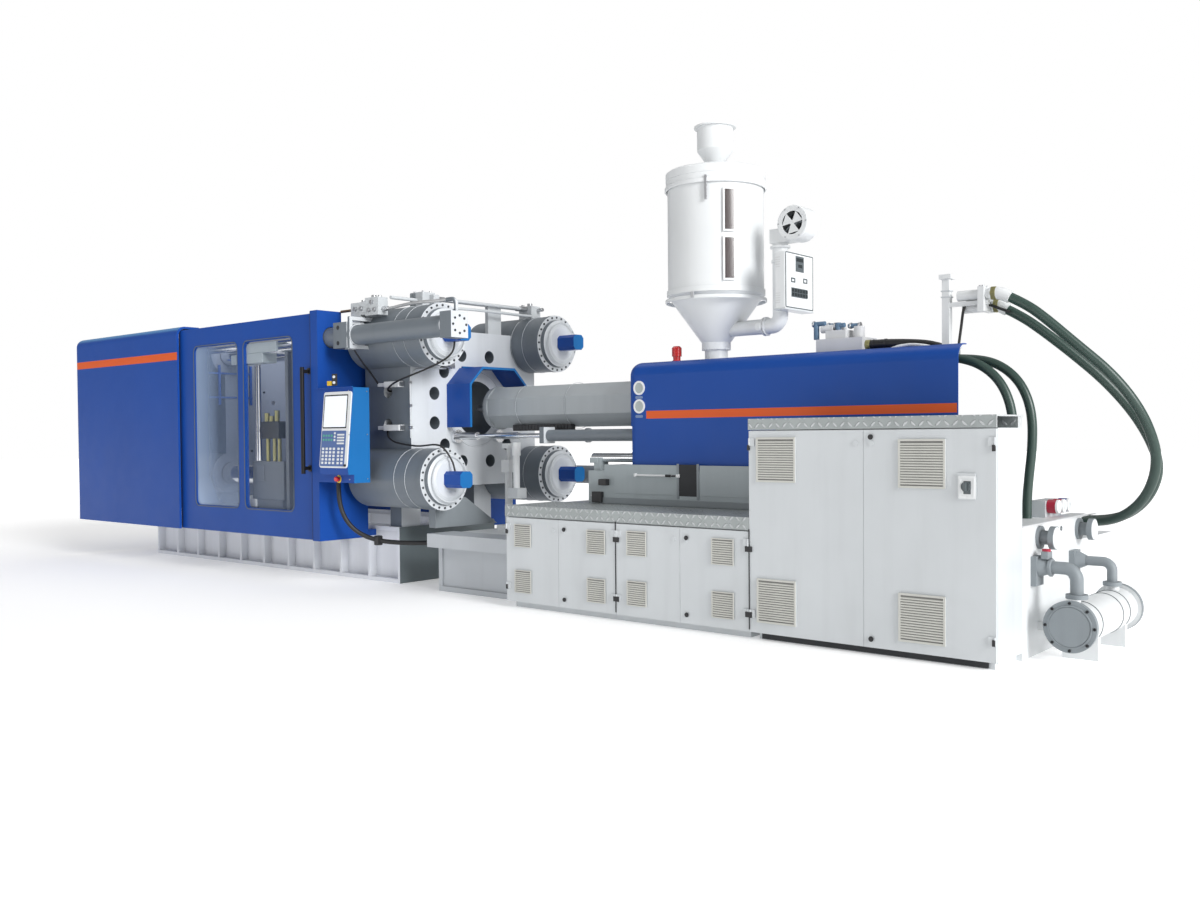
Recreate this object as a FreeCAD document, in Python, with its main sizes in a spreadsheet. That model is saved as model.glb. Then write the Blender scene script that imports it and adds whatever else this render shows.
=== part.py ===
import FreeCAD, Part
import math
import os
import Sketcher

# Two-platen injection moulding machine, in millimetres.
# Origin: the floor under the mould face of the fixed platen, on the machine's centre plane.
# +X runs along the machine towards the oil tank, +Y away from the operator, +Z up.

VECTOR = FreeCAD.Vector
ROTATION = FreeCAD.Rotation
document = FreeCAD.newDocument("injection_moulding_machine")
sheet = document.addObject("Spreadsheet::Sheet", "sizes")
nodes = []


# ---------------------------------------------------------------- sizes and formulas on them
class Size:
    """A cell of the sheet or a formula on cells: its expression and its present value."""

    def __init__(self, text, value):
        self.text = text
        self.value = value

    def __add__(self, other):
        other = as_size(other)
        return Size("(%s + %s)" % (self.text, other.text), self.value + other.value)

    def __sub__(self, other):
        other = as_size(other)
        return Size("(%s - %s)" % (self.text, other.text), self.value - other.value)

    def __mul__(self, other):
        other = as_size(other)
        return Size("(%s * %s)" % (self.text, other.text), self.value * other.value)

    def __truediv__(self, other):
        other = as_size(other)
        return Size("(%s / %s)" % (self.text, other.text), self.value / other.value)

    def __neg__(self):
        return Size("(0 - %s)" % self.text, -self.value)

    __radd__ = __add__

    def __rsub__(self, other):
        return as_size(other) - self

    __rmul__ = __mul__


def as_size(value):
    """A plain number as a formula, or the formula itself."""
    if isinstance(value, Size):
        return value
    return Size("%.6g" % value, float(value))


def size(name, value):
    """Write one driving dimension into the sheet under its own name."""
    row = size.rows = size.rows + 1
    sheet.set("A%d" % row, name)
    sheet.set("B%d" % row, "%.6g" % value)
    sheet.setAlias("B%d" % row, name)
    return Size("sizes." + name, float(value))


size.rows = 0


# ---------------------------------------------------------------- building blocks
ALONG = {
    "X": ROTATION(VECTOR(0, 1, 0), 90),
    "Y": ROTATION(VECTOR(1, 0, 0), -90),
    "Z": ROTATION(),
}
PROFILE_TURN = {
    "X": ROTATION(VECTOR(1, 1, 1), 120),
    "Y": ROTATION(VECTOR(1, 0, 0), 90),
    "Z": ROTATION(),
}
LATHE_TURN = {
    "X": ROTATION(),
    "Y": ROTATION(VECTOR(0, 0, 1), 90),
    "Z": ROTATION(VECTOR(0, 1, 0), -90),
}


def bind(item, **formulas):
    """Bind properties to formulas; a double underscore stands for a dot."""
    for name, formula in formulas.items():
        item.setExpression(name.replace("__", "."), as_size(formula).text)


def place(item, x, y, z, turn=None):
    if turn is not None:
        item.Placement = FreeCAD.Placement(VECTOR(0, 0, 0), turn)
    bind(item, Placement__Base__x=x, Placement__Base__y=y, Placement__Base__z=z)


def box(name, x, y, z):
    """A block between pairs of limits along each axis."""
    item = document.addObject("Part::Box", name)
    bind(item, Length=as_size(x[1]) - x[0], Width=as_size(y[1]) - y[0], Height=as_size(z[1]) - z[0])
    place(item, x[0], y[0], z[0])
    return item


def on_axis(axis, start, first, second):
    """The point at start along the axis, with the two other coordinates in order."""
    if axis == "X":
        return start, first, second
    if axis == "Y":
        return first, start, second
    return first, second, start


def rod(name, axis, first, second, span, radius):
    """A cylinder along an axis; first and second are its other two coordinates."""
    item = document.addObject("Part::Cylinder", name)
    bind(item, Radius=radius, Height=as_size(span[1]) - span[0])
    place(item, *on_axis(axis, span[0], first, second), ALONG[axis])
    return item


def cone(name, axis, first, second, span, radius_start, radius_end):
    item = document.addObject("Part::Cone", name)
    bind(item, Radius1=radius_start, Radius2=radius_end, Height=as_size(span[1]) - span[0])
    place(item, *on_axis(axis, span[0], first, second), ALONG[axis])
    return item


def outline_sketch(body, name, points):
    """A closed outline of straight edges whose corners are bound to formulas."""
    sketch = body.newObject("Sketcher::SketchObject", name + "_outline")
    plane = [item for item in body.Origin.OriginFeatures if item.Role == "XY_Plane"][0]
    sketch.AttachmentSupport = [(plane, "")]
    sketch.MapMode = "FlatFace"
    corners = [(as_size(u), as_size(v)) for u, v in points]
    count = len(corners)
    for index in range(count):
        start = corners[index]
        end = corners[(index + 1) % count]
        first = VECTOR(start[0].value, start[1].value, 0)
        second = VECTOR(end[0].value, end[1].value, 0)
        sketch.addGeometry(Part.LineSegment(first, second), False)
    for index in range(count):
        sketch.addConstraint(Sketcher.Constraint("Coincident", index, 2, (index + 1) % count, 1))
    for index, corner in enumerate(corners):
        for kind, formula in zip(("DistanceX", "DistanceY"), corner):
            bound = sketch.addConstraint(Sketcher.Constraint(kind, -1, 1, index, 1, formula.value))
            sketch.setExpression("Constraints[%d]" % bound, formula.text)
    return sketch


def prism(name, axis, points, span):
    """An outline pushed along an axis: (y, z) for X, (x, z) for Y, (x, y) for Z."""
    body = document.addObject("PartDesign::Body", name)
    sketch = outline_sketch(body, name, points)
    pad = body.newObject("PartDesign::Pad", name + "_pad")
    pad.Profile = sketch
    bind(pad, Length=as_size(span[1]) - span[0])
    start = span[1] if axis == "Y" else span[0]
    place(body, *on_axis(axis, start, 0, 0), PROFILE_TURN[axis])
    return body


def lathe(name, axis, centre, points):
    """An outline of (distance along the axis, radius) points turned once round the axis."""
    body = document.addObject("PartDesign::Body", name)
    sketch = outline_sketch(body, name, points)
    turned = body.newObject("PartDesign::Revolution", name + "_turned")
    turned.Profile = sketch
    turned.ReferenceAxis = (sketch, ["H_Axis"])
    turned.Angle = 360
    place(body, *centre, LATHE_TURN[axis])
    return body


def fuse(name, parts):
    item = document.addObject("Part::MultiFuse", name)
    item.Shapes = parts
    return item


def cut(name, base, tools):
    """The base less the tools."""
    tool = tools[0] if len(tools) == 1 else fuse(name + "_tools", tools)
    item = document.addObject("Part::Cut", name)
    item.Base = base
    item.Tool = tool
    return item


def group(name, parts):
    """Separate solids in one sub-part."""
    item = document.addObject("Part::Compound", name)
    item.Links = parts
    return item


def rounded(name, base, radius, chosen):
    """Round the edges of the base that the test picks by their two end points."""
    document.recompute()
    item = document.addObject("Part::Fillet", name)
    item.Base = base
    picked = []
    for number, edge in enumerate(base.Shape.Edges, 1):
        if len(edge.Vertexes) == 2 and chosen(edge.Vertexes[0].Point, edge.Vertexes[1].Point):
            picked.append((number, radius.value, radius.value))
    item.Edges = picked
    return item


def near(first, second):
    return abs(first - second) < 0.01


def hood_edges(left, top):
    """A test for the long top edges of a box and for all edges of its left end but the lowest."""
    def chosen(first, second):
        on_top = near(first.z, top.value) and near(second.z, top.value)
        on_left = near(first.x, left.value) and near(second.x, left.value)
        lengthwise = near(first.y, second.y) and near(first.z, second.z)
        upright = near(first.y, second.y) and near(first.x, second.x)
        return on_top and (lengthwise or on_left) or on_left and upright
    return chosen


def node(item, label):
    item.Label = label
    nodes.append(item)
    return item


def bent_tube(name, points, radius):
    """A tube along straight runs joined by tangent arcs, each as large as its two runs allow."""
    corners = [VECTOR(*point) for point in points]
    edges = []
    previous = corners[0]
    for index in range(1, len(corners) - 1):
        before = corners[index - 1] - corners[index]
        after = corners[index + 1] - corners[index]
        shorter = min(before.Length, after.Length)
        turn = math.pi - before.getAngle(after)
        arc_radius = 0.45 * shorter / math.tan(turn / 2)
        print("%s bend %d: radius %.0f, turn %.0f" % (name, index, arc_radius, math.degrees(turn)))
        before.normalize()
        after.normalize()
        start = corners[index] + before * (0.45 * shorter)
        end = corners[index] + after * (0.45 * shorter)
        middle_way = before + after
        middle_way.normalize()
        to_centre = arc_radius / math.cos(turn / 2)
        middle = corners[index] + middle_way * (to_centre - arc_radius)
        edges.append(Part.LineSegment(previous, start).toShape())
        edges.append(Part.Arc(start, middle, end).toShape())
        previous = end
    edges.append(Part.LineSegment(previous, corners[-1]).toShape())
    path = Part.Wire(edges)
    way = corners[1] - corners[0]
    circle = Part.Wire([Part.Circle(corners[0], way, radius).toShape()])
    shape = path.makePipeShell([circle], True, False)
    if shape.Volume < 0:
        shape.reverse()
    expected = math.pi * radius * radius * path.Length
    print("%s length %.0f, volume over section times length %.4f" % (name, path.Length,
        shape.Volume / expected))
    item = document.addObject("Part::Feature", name)
    item.Shape = shape
    return item


# ---------------------------------------------------------------- driving dimensions
axis_height = size("axis_height", 1415)
bar_offset_side = size("bar_offset_side", 637)
bar_offset_height = size("bar_offset_height", 550)
bar_radius = size("bar_radius", 100)
shaft_clearance = size("shaft_clearance", 0.05)
running_gap = size("running_gap", 3)
seam_gap = size("seam_gap", 2)
slide_gap = size("slide_gap", 0.5)
sheet_wall = size("sheet_wall", 6)

bar_low = axis_height - bar_offset_height
bar_high = axis_height + bar_offset_height
bar_places = [(side * bar_offset_side, height) for side in (-1, 1) for height in (bar_low, bar_high)]

base_left = size("base_left", -3710)
base_right = size("base_right", 210)
base_half = size("base_half", 532)
base_height = size("base_height", 458)
base_flange = size("base_flange", 34)
base_bay_depth = size("base_bay_depth", 70)
base_rib = size("base_rib", 26)
base_bays = 10
chute_left = size("chute_left", -1300)
chute_right = size("chute_right", -150)
chute_half = size("chute_half", 350)
rail_height = size("rail_height", 30)
rail_inner = size("rail_inner", 380)
rail_width = size("rail_width", 100)

platen_thickness = size("platen_thickness", 560)
platen_half = size("platen_half", 690)
platen_bottom = size("platen_bottom", 790)
platen_top = size("platen_top", 2040)
platen_corner = size("platen_corner", 160)
housing_radius = size("housing_radius", 235)
housing_length = size("housing_length", 840)
piston_radius = size("piston_radius", 190)
chamber_start = size("chamber_start", 540)
well_radius = size("well_radius", 225)
well_floor = size("well_floor", 120)
locating_radius = size("locating_radius", 125)
core_radius = size("core_radius", 52)
core_depth = size("core_depth", 190)
foot_inner = size("foot_inner", 300)
foot_outer = size("foot_outer", 500)
bolt_hole_radius = size("bolt_hole_radius", 12)
bolt_hole_depth = size("bolt_hole_depth", 60)
bolt_inner_width = size("bolt_inner_width", 560)
bolt_inner_height = size("bolt_inner_height", 420)
bolt_outer_width = size("bolt_outer_width", 840)
bolt_outer_height = size("bolt_outer_height", 700)

cover_flange_radius = size("cover_flange_radius", 239)
cover_flange_thickness = size("cover_flange_thickness", 40)
cover_dome_radius = size("cover_dome_radius", 200)
cover_dome_length = size("cover_dome_length", 65)
cap_half = size("cap_half", 62)
cap_length = size("cap_length", 182)

daylight = size("daylight", 2100)
moving_thickness = size("moving_thickness", 560)
boss_radius = size("boss_radius", 190)
jaw_gap = size("jaw_gap", 20)
jaw_length = size("jaw_length", 200)
jaw_half = size("jaw_half", 160)
jaw_opening = size("jaw_opening", 45)
jaw_guide = size("jaw_guide", 24)
bar_tail = size("bar_tail", 190)
moving_face = -daylight
moving_back = moving_face - moving_thickness
jaw_front = moving_back - jaw_gap
jaw_back = jaw_front - jaw_length
bar_left = jaw_back - bar_tail

ejector_rod_radius = size("ejector_rod_radius", 20)
ejector_spread_side = size("ejector_spread_side", 180)
ejector_spread_height = size("ejector_spread_height", 110)
ejector_barrel_radius = size("ejector_barrel_radius", 62)
ejector_barrel_length = size("ejector_barrel_length", 200)
ejector_piston_rod = size("ejector_piston_rod", 28)
ejector_stroke = size("ejector_stroke", 150)
ejector_plate = size("ejector_plate", 40)

guard_bottom = size("guard_bottom", 371)
guard_top = size("guard_top", 2211)
guard_half = size("guard_half", 1110)
guard_wall = size("guard_wall", 20)
guard_left = size("guard_left", -4270)
guard_seam = size("guard_seam", -2198)
guard_round = size("guard_round", 80)
guard_lip = size("guard_lip", 220)
door_face = guard_half - 40
door_wall = size("door_wall", 35)
door_top = size("door_top", 2172)
door_left = size("door_left", -2230)
post_left = size("post_left", -170)
post_right = size("post_right", -78)
post_face = door_face + 22
post_top = size("post_top", 2190)
post_inner = size("post_inner", 515)
window_bottom = size("window_bottom", 599)
window_top = size("window_top", 2002)
window_left = size("window_left", -1965)
window_split_left = size("window_split_left", -1274)
window_split_right = size("window_split_right", -1160)
window_right = size("window_right", -460)
window_corner = size("window_corner", 50)
pane_thickness = size("pane_thickness", 10)
rib_depth = size("rib_depth", 16)
rib_width = size("rib_width", 60)
handle_x = size("handle_x", -225)
handle_bottom = size("handle_bottom", 903)
handle_top = size("handle_top", 1747)
handle_reach = size("handle_reach", 82)
handle_radius = size("handle_radius", 17)

traverse_side = size("traverse_side", 955)
traverse_height = size("traverse_height", 1980)
traverse_tube = size("traverse_tube", 78)
traverse_bore = size("traverse_bore", 62)
traverse_rod = size("traverse_rod", 34)
traverse_left = size("traverse_left", -420)
traverse_right = size("traverse_right", 1300)
traverse_block = size("traverse_block", 119)
traverse_half = size("traverse_half", 80)
traverse_rise = size("traverse_rise", 93)
bracket_half = traverse_half + 5
bracket_rise = traverse_rise + 7
bracket_left = size("bracket_left", 60)
bracket_length = size("bracket_length", 170)
manifold_y = (size("manifold_front", -900), size("manifold_back", -806))
manifold_bottom = size("manifold_bottom", 2140)
manifold_left = size("manifold_left", 100)
manifold_step = size("manifold_step", 280)
manifold_right = size("manifold_right", 440)
valve_box_rise = size("valve_box_rise", 110)
fitting_half = size("fitting_half", 55)
stand_left = size("stand_left", 520)
pipe_height = size("pipe_height", 2277)
pipe_radius = size("pipe_radius", 14)
box_x = (size("valve_box_left", 402), size("valve_box_right", 550))
box_y = (size("valve_box_front", -551), size("valve_box_back", -420))
elbow_x = size("elbow_x", 1385)
elbow_radius = size("elbow_radius", 15)

box_left = post_right
box_right = size("box_right", 371)
box_bottom = size("box_bottom", 840)
box_top = size("box_top", 1570)
box_depth = size("box_depth", 150)
e_stop_x = size("e_stop_x", 180)
e_stop_height = size("e_stop_height", 869)
e_stop_stem = size("e_stop_stem", 11)
tablet_left = size("tablet_left", 15)
tablet_bottom = size("tablet_bottom", 905)
tablet_top = size("tablet_top", 1550)
tablet_depth = size("tablet_depth", 46)

hood_left = platen_thickness
hood_right = size("hood_right", 830)
hood_half = size("hood_half", 320)
hood_bottom = size("hood_bottom", 1262)
hood_shoulder = size("hood_shoulder", 1605)
hood_top = size("hood_top", 1742)
hood_top_half = size("hood_top_half", 180)

bed_right = size("bed_right", 5180)
bed_left = size("bed_left", 768)
bed_front = size("bed_front", 490)
bed_back = size("bed_back", 483)
bed_height = size("bed_height", 700)
step_height = size("step_height", 440)
step_right = size("step_right", 1757)
step_front = size("step_front", 605)
step_lip = size("step_lip", 95)
rear_box_back = size("rear_box_back", 1095)
rear_box_height = size("rear_box_height", 560)
rear_box_left = size("rear_box_left", 2600)
motor_left = size("motor_left", 3200)
motor_side = size("motor_side", 800)
pump_motor_radius = size("pump_motor_radius", 185)

cabinet_front = size("cabinet_front", 847)
cabinet_bottom = size("cabinet_bottom", 42)
low_top = size("low_top", 630)
tall_left = size("tall_left", 3745)
tall_top = size("tall_top", 1211)
tall_seam = size("tall_seam", 4466)
tread_thickness = size("tread_thickness", 8)
tread_lip = size("tread_lip", 66)
door_thickness = size("door_thickness", 20)
casing_wall = size("casing_wall", 12)
low_seam_first = size("low_seam_first", 2247)
low_seam_second = size("low_seam_second", 2744)
low_seam_third = size("low_seam_third", 3248)
low_edges = [step_right, low_seam_first, low_seam_second, low_seam_third, tall_left]
low_grille = size("low_grille", 148.5)
tall_grille = size("tall_grille", 255)
grille_proud = size("grille_proud", 6)
switch_plate = size("switch_plate", 8)
hinge_radius = size("hinge_radius", 5)
hinge_inset = size("hinge_inset", 6)
hinge_length = size("hinge_length", 44)

frame_left = size("frame_left", 2068)
frame_right = size("frame_right", 4640)
frame_half = size("frame_half", 330)
frame_top = size("frame_top", 940)
frame_beam = size("frame_beam", 150)
guide_side = size("guide_side", 225)
guide_height = size("guide_height", 1030)
guide_radius = size("guide_radius", 32)
guide_left = size("guide_left", 2030)
guide_block = size("guide_block", 60)

pull_side = size("pull_side", 230)
pull_height = guide_height + 160
pull_rod = size("pull_rod", 19)
pull_sleeve = size("pull_sleeve", 28)
pull_sleeve_end = size("pull_sleeve_end", 823)
pull_mouth = size("pull_mouth", 1572)
pull_barrel = size("pull_barrel", 43)
pull_bore = size("pull_bore", 34)
pull_end = size("pull_end", 2700)
carriage_back = size("carriage_back", 90)

nozzle_tip = size("nozzle_tip", 593)
barrel_radius = size("barrel_radius", 110)
screw_radius = size("screw_radius", 62)
shroud_radius = size("shroud_radius", 160)
shroud_left = size("shroud_left", 800)
shroud_right = size("shroud_right", 2372)
cover_left = size("cover_left", 2377)
cover_right = size("cover_right", 4756)
cover_back_right = size("cover_back_right", 4380)
cover_half = size("cover_half", 287)
cover_bottom = size("cover_bottom", 960)
cover_top = size("cover_top", 1690)
cover_round = size("cover_round", 90)
housing_block_left = size("housing_block_left", 2700)
housing_block_right = size("housing_block_right", 3260)
housing_block_half = size("housing_block_half", 190)
rear_plate_left = size("rear_plate_left", 3860)
rear_plate_right = size("rear_plate_right", 3980)
barrel_tail = size("barrel_tail", 120)
ram_left = size("ram_left", 3430)
ram_right = size("ram_right", 3550)
ram_rod = size("ram_rod", 40)
cylinder_side = size("cylinder_side", 125)
cylinder_rise = size("cylinder_rise", 90)
cylinder_bore = size("cylinder_bore", 50)
motor_radius = size("motor_radius", 58)

hopper_x = size("hopper_x", 2945)
collar_radius = size("collar_radius", 98)
collar_bottom = size("collar_bottom", 1680)
collar_top = size("collar_top", 1811)
drum_radius = size("drum_radius", 325)
drum_bottom = size("drum_bottom", 2127)
drum_top = size("drum_top", 2901)
lid_top = size("lid_top", 2962)
lid_pin = size("lid_pin", 8)
neck_radius = size("neck_radius", 57)
neck_top = size("neck_top", 3022)
cup_radius = size("cup_radius", 122)
cup_shoulder = size("cup_shoulder", 3110)
cup_top = size("cup_top", 3272)
cup_rim = size("cup_rim", 142)
hopper_wall = size("hopper_wall", 5)
duct_height = size("duct_height", 1895)
duct_radius = size("duct_radius", 50)
riser_x = size("riser_x", 3450)
fan_x = size("fan_x", 3583)
fan_height = size("fan_height", 2535)
fan_radius = size("fan_radius", 105)
fan_shaft = size("fan_shaft", 8)
dryer_half = size("dryer_half", 174)
dryer_depth = size("dryer_depth", 81)
dryer_length = size("dryer_length", 362)
dryer_left = riser_x + duct_radius + 10
dryer_right = dryer_left + dryer_depth
dryer_top = fan_height - 190
dryer_bottom = dryer_top - dryer_length

exchanger_x = size("exchanger_x", 5397)
exchanger_height = size("exchanger_height", 192)
exchanger_front = size("exchanger_front", 427)
exchanger_back = size("exchanger_back", 433)
exchanger_radius = size("exchanger_radius", 110)
exchanger_flange = size("exchanger_flange", 132)


# ---------------------------------------------------------------- clamp bed
def make_clamp_base():
    """Welded bed: webs between two flanges with stiffening ribs, chute, slide rails and guard sills."""
    left, right, half = base_left, base_right, base_half
    core = box("base_core", (left, right), (-half, half), (0, base_height))
    tools = [box("base_chute", (chute_left, chute_right), (-chute_half, chute_half), (-10,
        base_height + 10))]
    pitch = (right - left - base_rib) / base_bays
    for index in range(base_bays):
        start = left + base_rib + pitch * index
        bay = (start, start + pitch - base_rib)
        tall = (base_flange, base_height - base_flange)
        tools.append(box("bay_front_%d" % index, bay, (-half - 1, base_bay_depth - half), tall))
        tools.append(box("bay_back_%d" % index, bay, (half - base_bay_depth, half + 1), tall))
    welded = cut("base_welded", core, tools)
    parts = [welded]
    for side in (-1, 1):
        inner = rail_inner if side > 0 else -rail_inner - rail_width
        outer = inner + rail_width
        rail_span = (moving_back - 120, chute_left + 900)
        parts.append(box("slide_rail", rail_span, (inner, outer), (base_height, base_height + rail_height)))
        sill_start = door_face - door_wall - 46
        sill_end = door_face - door_wall - slide_gap
        sill_y = (sill_start, sill_end) if side > 0 else (-sill_end, -sill_start)
        parts.append(box("door_sill", (guard_left + 200, post_left), sill_y, (guard_bottom + 9,
            guard_bottom + 49)))
        for arm in (base_left + 90, guard_seam + 60, chute_left + 60, post_left - 90):
            arm_y = (half, sill_end) if side > 0 else (-sill_end, -half)
            parts.append(box("sill_arm", (arm, arm + 70), arm_y, (guard_bottom + 9, guard_bottom + 49)))
    node(fuse("clamp_base", parts), "clamp_base")


# ---------------------------------------------------------------- fixed platen and tie bars
def platen_outline(half, bottom, top, corner):
    return [
        (-half, bottom + corner),
        (corner - half, bottom),
        (half - corner, bottom),
        (half, bottom + corner),
        (half, top - corner),
        (half - corner, top),
        (corner - half, top),
        (-half, top - corner),
    ]


def bolt_holes(name, face, direction):
    """Two rectangles of tapped holes for mould clamps, drilled into a mould face."""
    holes = []
    for width, height in ((bolt_inner_width, bolt_inner_height), (bolt_outer_width, bolt_outer_height)):
        for side in (-0.5, 0.5):
            for rise in (-0.5, 0.5):
                span = (face - 1,
                    face + bolt_hole_depth) if direction > 0 else (face - bolt_hole_depth, face + 1)
                holes.append(rod(name, "X", width * side, axis_height + height * rise, span,
                    bolt_hole_radius))
    return holes


CORE_PLACES = ((154, 430), (345, 293), (449, 117))


def make_fixed_platen():
    """Cast platen with four lock-cylinder housings, nozzle well, lightening cores and feet."""
    back = platen_thickness
    body = prism("platen_body", "X", platen_outline(platen_half, platen_bottom, platen_top,
        platen_corner), (0, back))
    parts = [body]
    for y, z in bar_places:
        parts.append(rod("lock_housing", "X", y, z, (0, housing_length), housing_radius))
    for side in (-1, 1):
        inner, outer = foot_inner, foot_outer
        foot_y = (inner, outer) if side > 0 else (-outer, -inner)
        parts.append(box("platen_foot", (60, base_right - 10), foot_y, (base_height, platen_bottom + 20)))
    tools = [
        rod("nozzle_well", "X", 0, axis_height, (well_floor, back + 1), well_radius),
        rod("locating_bore", "X", 0, axis_height, (-1, well_floor + 1), locating_radius),
    ]
    for y, z in bar_places:
        tools.append(rod("bar_bore", "X", y, z, (-1, housing_length + 1), bar_radius + shaft_clearance))
        tools.append(rod("lock_chamber", "X", y, z, (chamber_start, housing_length + 1),
            piston_radius + shaft_clearance))
    for y, rise in CORE_PLACES:
        for side in (-1, 1):
            for flip in (-1, 1):
                core_z = axis_height + rise * flip
                tools.append(rod("core", "X", y * side, core_z, (back - core_depth, back + 1), core_radius))
    for side in (-1, 1):
        for rise in (-132, 132):
            start = -platen_half - 1 if side < 0 else platen_half - 110
            span = (start, start + 111)
            tools.append(rod("side_hole", "Y", 282, axis_height + rise, span, 50))
    tools += bolt_holes("mould_bolt_hole", as_size(0), 1)
    node(cut("fixed_platen", fuse("platen_casting", parts), tools), "fixed_platen")


def make_tie_bars():
    """Four bars with a lock piston at one end and a locking groove zone at the other."""
    bars = []
    for index, (y, z) in enumerate(bar_places):
        piston = (chamber_start + 40, chamber_start + 180)
        points = [
            (bar_left, 0),
            (bar_left, bar_radius - 10),
            (bar_left + 10, bar_radius),
            (piston[0], bar_radius),
            (piston[0], piston_radius),
            (piston[1], piston_radius),
            (piston[1], bar_radius),
            (housing_length - 20, bar_radius),
            (housing_length - 20, 0),
        ]
        bars.append(lathe("tie_bar_%d" % index, "X", (0, y, z), points))
    node(group("tie_bars", bars), "tie_bars")


def make_lock_covers():
    """Bolted end covers of the lock cylinders: a flange and a shallow dome."""
    covers = []
    start = housing_length
    for index, (y, z) in enumerate(bar_places):
        dome = start + cover_flange_thickness
        points = [
            (start, 0),
            (start, cover_flange_radius),
            (dome, cover_flange_radius),
            (dome, cover_dome_radius),
            (dome + cover_dome_length * 0.5, cover_dome_radius - 6),
            (dome + cover_dome_length, cover_dome_radius - 60),
            (dome + cover_dome_length, 0),
        ]
        covers.append(lathe("lock_cover_%d" % index, "X", (0, y, z), points))
    node(group("lock_covers", covers), "lock_covers")


def make_sensor_caps():
    """Square caps with chamfered corners over the piston position sensors."""
    caps = []
    start = housing_length + cover_flange_thickness + cover_dome_length
    bevel = cap_half * 0.4
    for index, (y, z) in enumerate(bar_places):
        outline = [
            (y - cap_half, z - cap_half + bevel),
            (y - cap_half + bevel, z - cap_half),
            (y + cap_half - bevel, z - cap_half),
            (y + cap_half, z - cap_half + bevel),
            (y + cap_half, z + cap_half - bevel),
            (y + cap_half - bevel, z + cap_half),
            (y - cap_half + bevel, z + cap_half),
            (y - cap_half, z + cap_half - bevel),
        ]
        caps.append(prism("sensor_cap_%d" % index, "X", outline, (start, start + cap_length)))
    node(group("sensor_caps", caps), "sensor_caps")


# ---------------------------------------------------------------- moving platen, nuts and ejector
def make_moving_platen():
    """Platen that slides on the bed rails, with bosses round the bars, nut guides and ejector barrel."""
    outline = platen_outline(platen_half, platen_bottom, platen_top, platen_corner)
    parts = [prism("moving_body", "X", outline, (moving_back, moving_face))]
    for y, z in bar_places:
        parts.append(rod("bar_boss", "X", y, z, (moving_back, moving_face), boss_radius))
        for side in (-1, 1):
            inner = jaw_half + slide_gap
            outer = inner + jaw_guide
            guide_z = (z + inner, z + outer) if side > 0 else (z - outer, z - inner)
            guide_y = (y - boss_radius - jaw_opening, y + boss_radius + jaw_opening)
            parts.append(box("jaw_guide", (jaw_back, moving_back), guide_y, guide_z))
    for side in (-1, 1):
        shoe_y = (rail_inner, rail_inner + rail_width) if side > 0 else (-rail_inner - rail_width,
            -rail_inner)
        shoe_z = (base_height + rail_height + slide_gap, platen_bottom + 20)
        parts.append(box("platen_shoe", (moving_back, moving_face - 40), shoe_y, shoe_z))
        lug_side = traverse_side * side
        lug_height = traverse_height if side < 0 else axis_height * 2 - traverse_height
        lug_y = (lug_side - 60, -platen_half + 20) if side < 0 else (platen_half - 20, lug_side + 60)
        parts.append(box("traverse_lug", (moving_face - 260, moving_face - 180), lug_y,
            (lug_height - 60, lug_height + 60)))
    barrel_end = moving_back - ejector_barrel_length
    parts.append(rod("ejector_barrel", "X", 0, axis_height, (barrel_end, moving_back + 1),
        ejector_barrel_radius))
    tools = []
    for y, z in bar_places:
        tools.append(rod("moving_bar_bore", "X", y, z, (moving_back - 1, moving_face + 1),
            bar_radius + running_gap))
    for side in (-1, 1):
        for rise in (-1, 1):
            rod_y = ejector_spread_side * side
            rod_z = axis_height + ejector_spread_height * rise
            span = (moving_back - 1, moving_face + 1)
            tools.append(rod("ejector_bore", "X", rod_y, rod_z, span, ejector_rod_radius + slide_gap))
    piston_span = (barrel_end - 1, barrel_end + ejector_barrel_length + ejector_stroke)
    tools.append(rod("ejector_cylinder_bore", "X", 0, axis_height, piston_span,
        ejector_piston_rod + shaft_clearance))
    tools += bolt_holes("mould_bolt_hole_moving", moving_face, -1)
    lug_span = (moving_face - 261, moving_face - 179)
    rod_bore = traverse_rod * 0.6 + shaft_clearance
    tools.append(rod("lug_bore", "X", -traverse_side, traverse_height, lug_span, rod_bore))
    tools.append(rod("lug_bore", "X", traverse_side, axis_height * 2 - traverse_height, lug_span, rod_bore))
    node(cut("moving_platen", fuse("moving_casting", parts), tools), "moving_platen")


def make_traverse_rods():
    """Piston rods of the two traverse cylinders, nutted into the lugs of the moving platen."""
    rods = []
    for index, (y, z) in enumerate(((-traverse_side, traverse_height), (traverse_side,
            axis_height * 2 - traverse_height))):
        lug_end = moving_face - 180
        points = [
            (lug_end - 80 - 40, 0),
            (lug_end - 80 - 40, traverse_rod),
            (lug_end - 80, traverse_rod),
            (lug_end - 80, traverse_rod * 0.6),
            (lug_end, traverse_rod * 0.6),
            (lug_end, traverse_rod),
            (traverse_left + 80, traverse_rod),
            (traverse_left + 80, traverse_bore - shaft_clearance),
            (traverse_left + 140, traverse_bore - shaft_clearance),
            (traverse_left + 140, 0),
        ]
        rods.append(lathe("traverse_rod_%d" % index, "X", (0, y, z), points))
    node(group("traverse_rods", rods), "traverse_rods")


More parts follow.
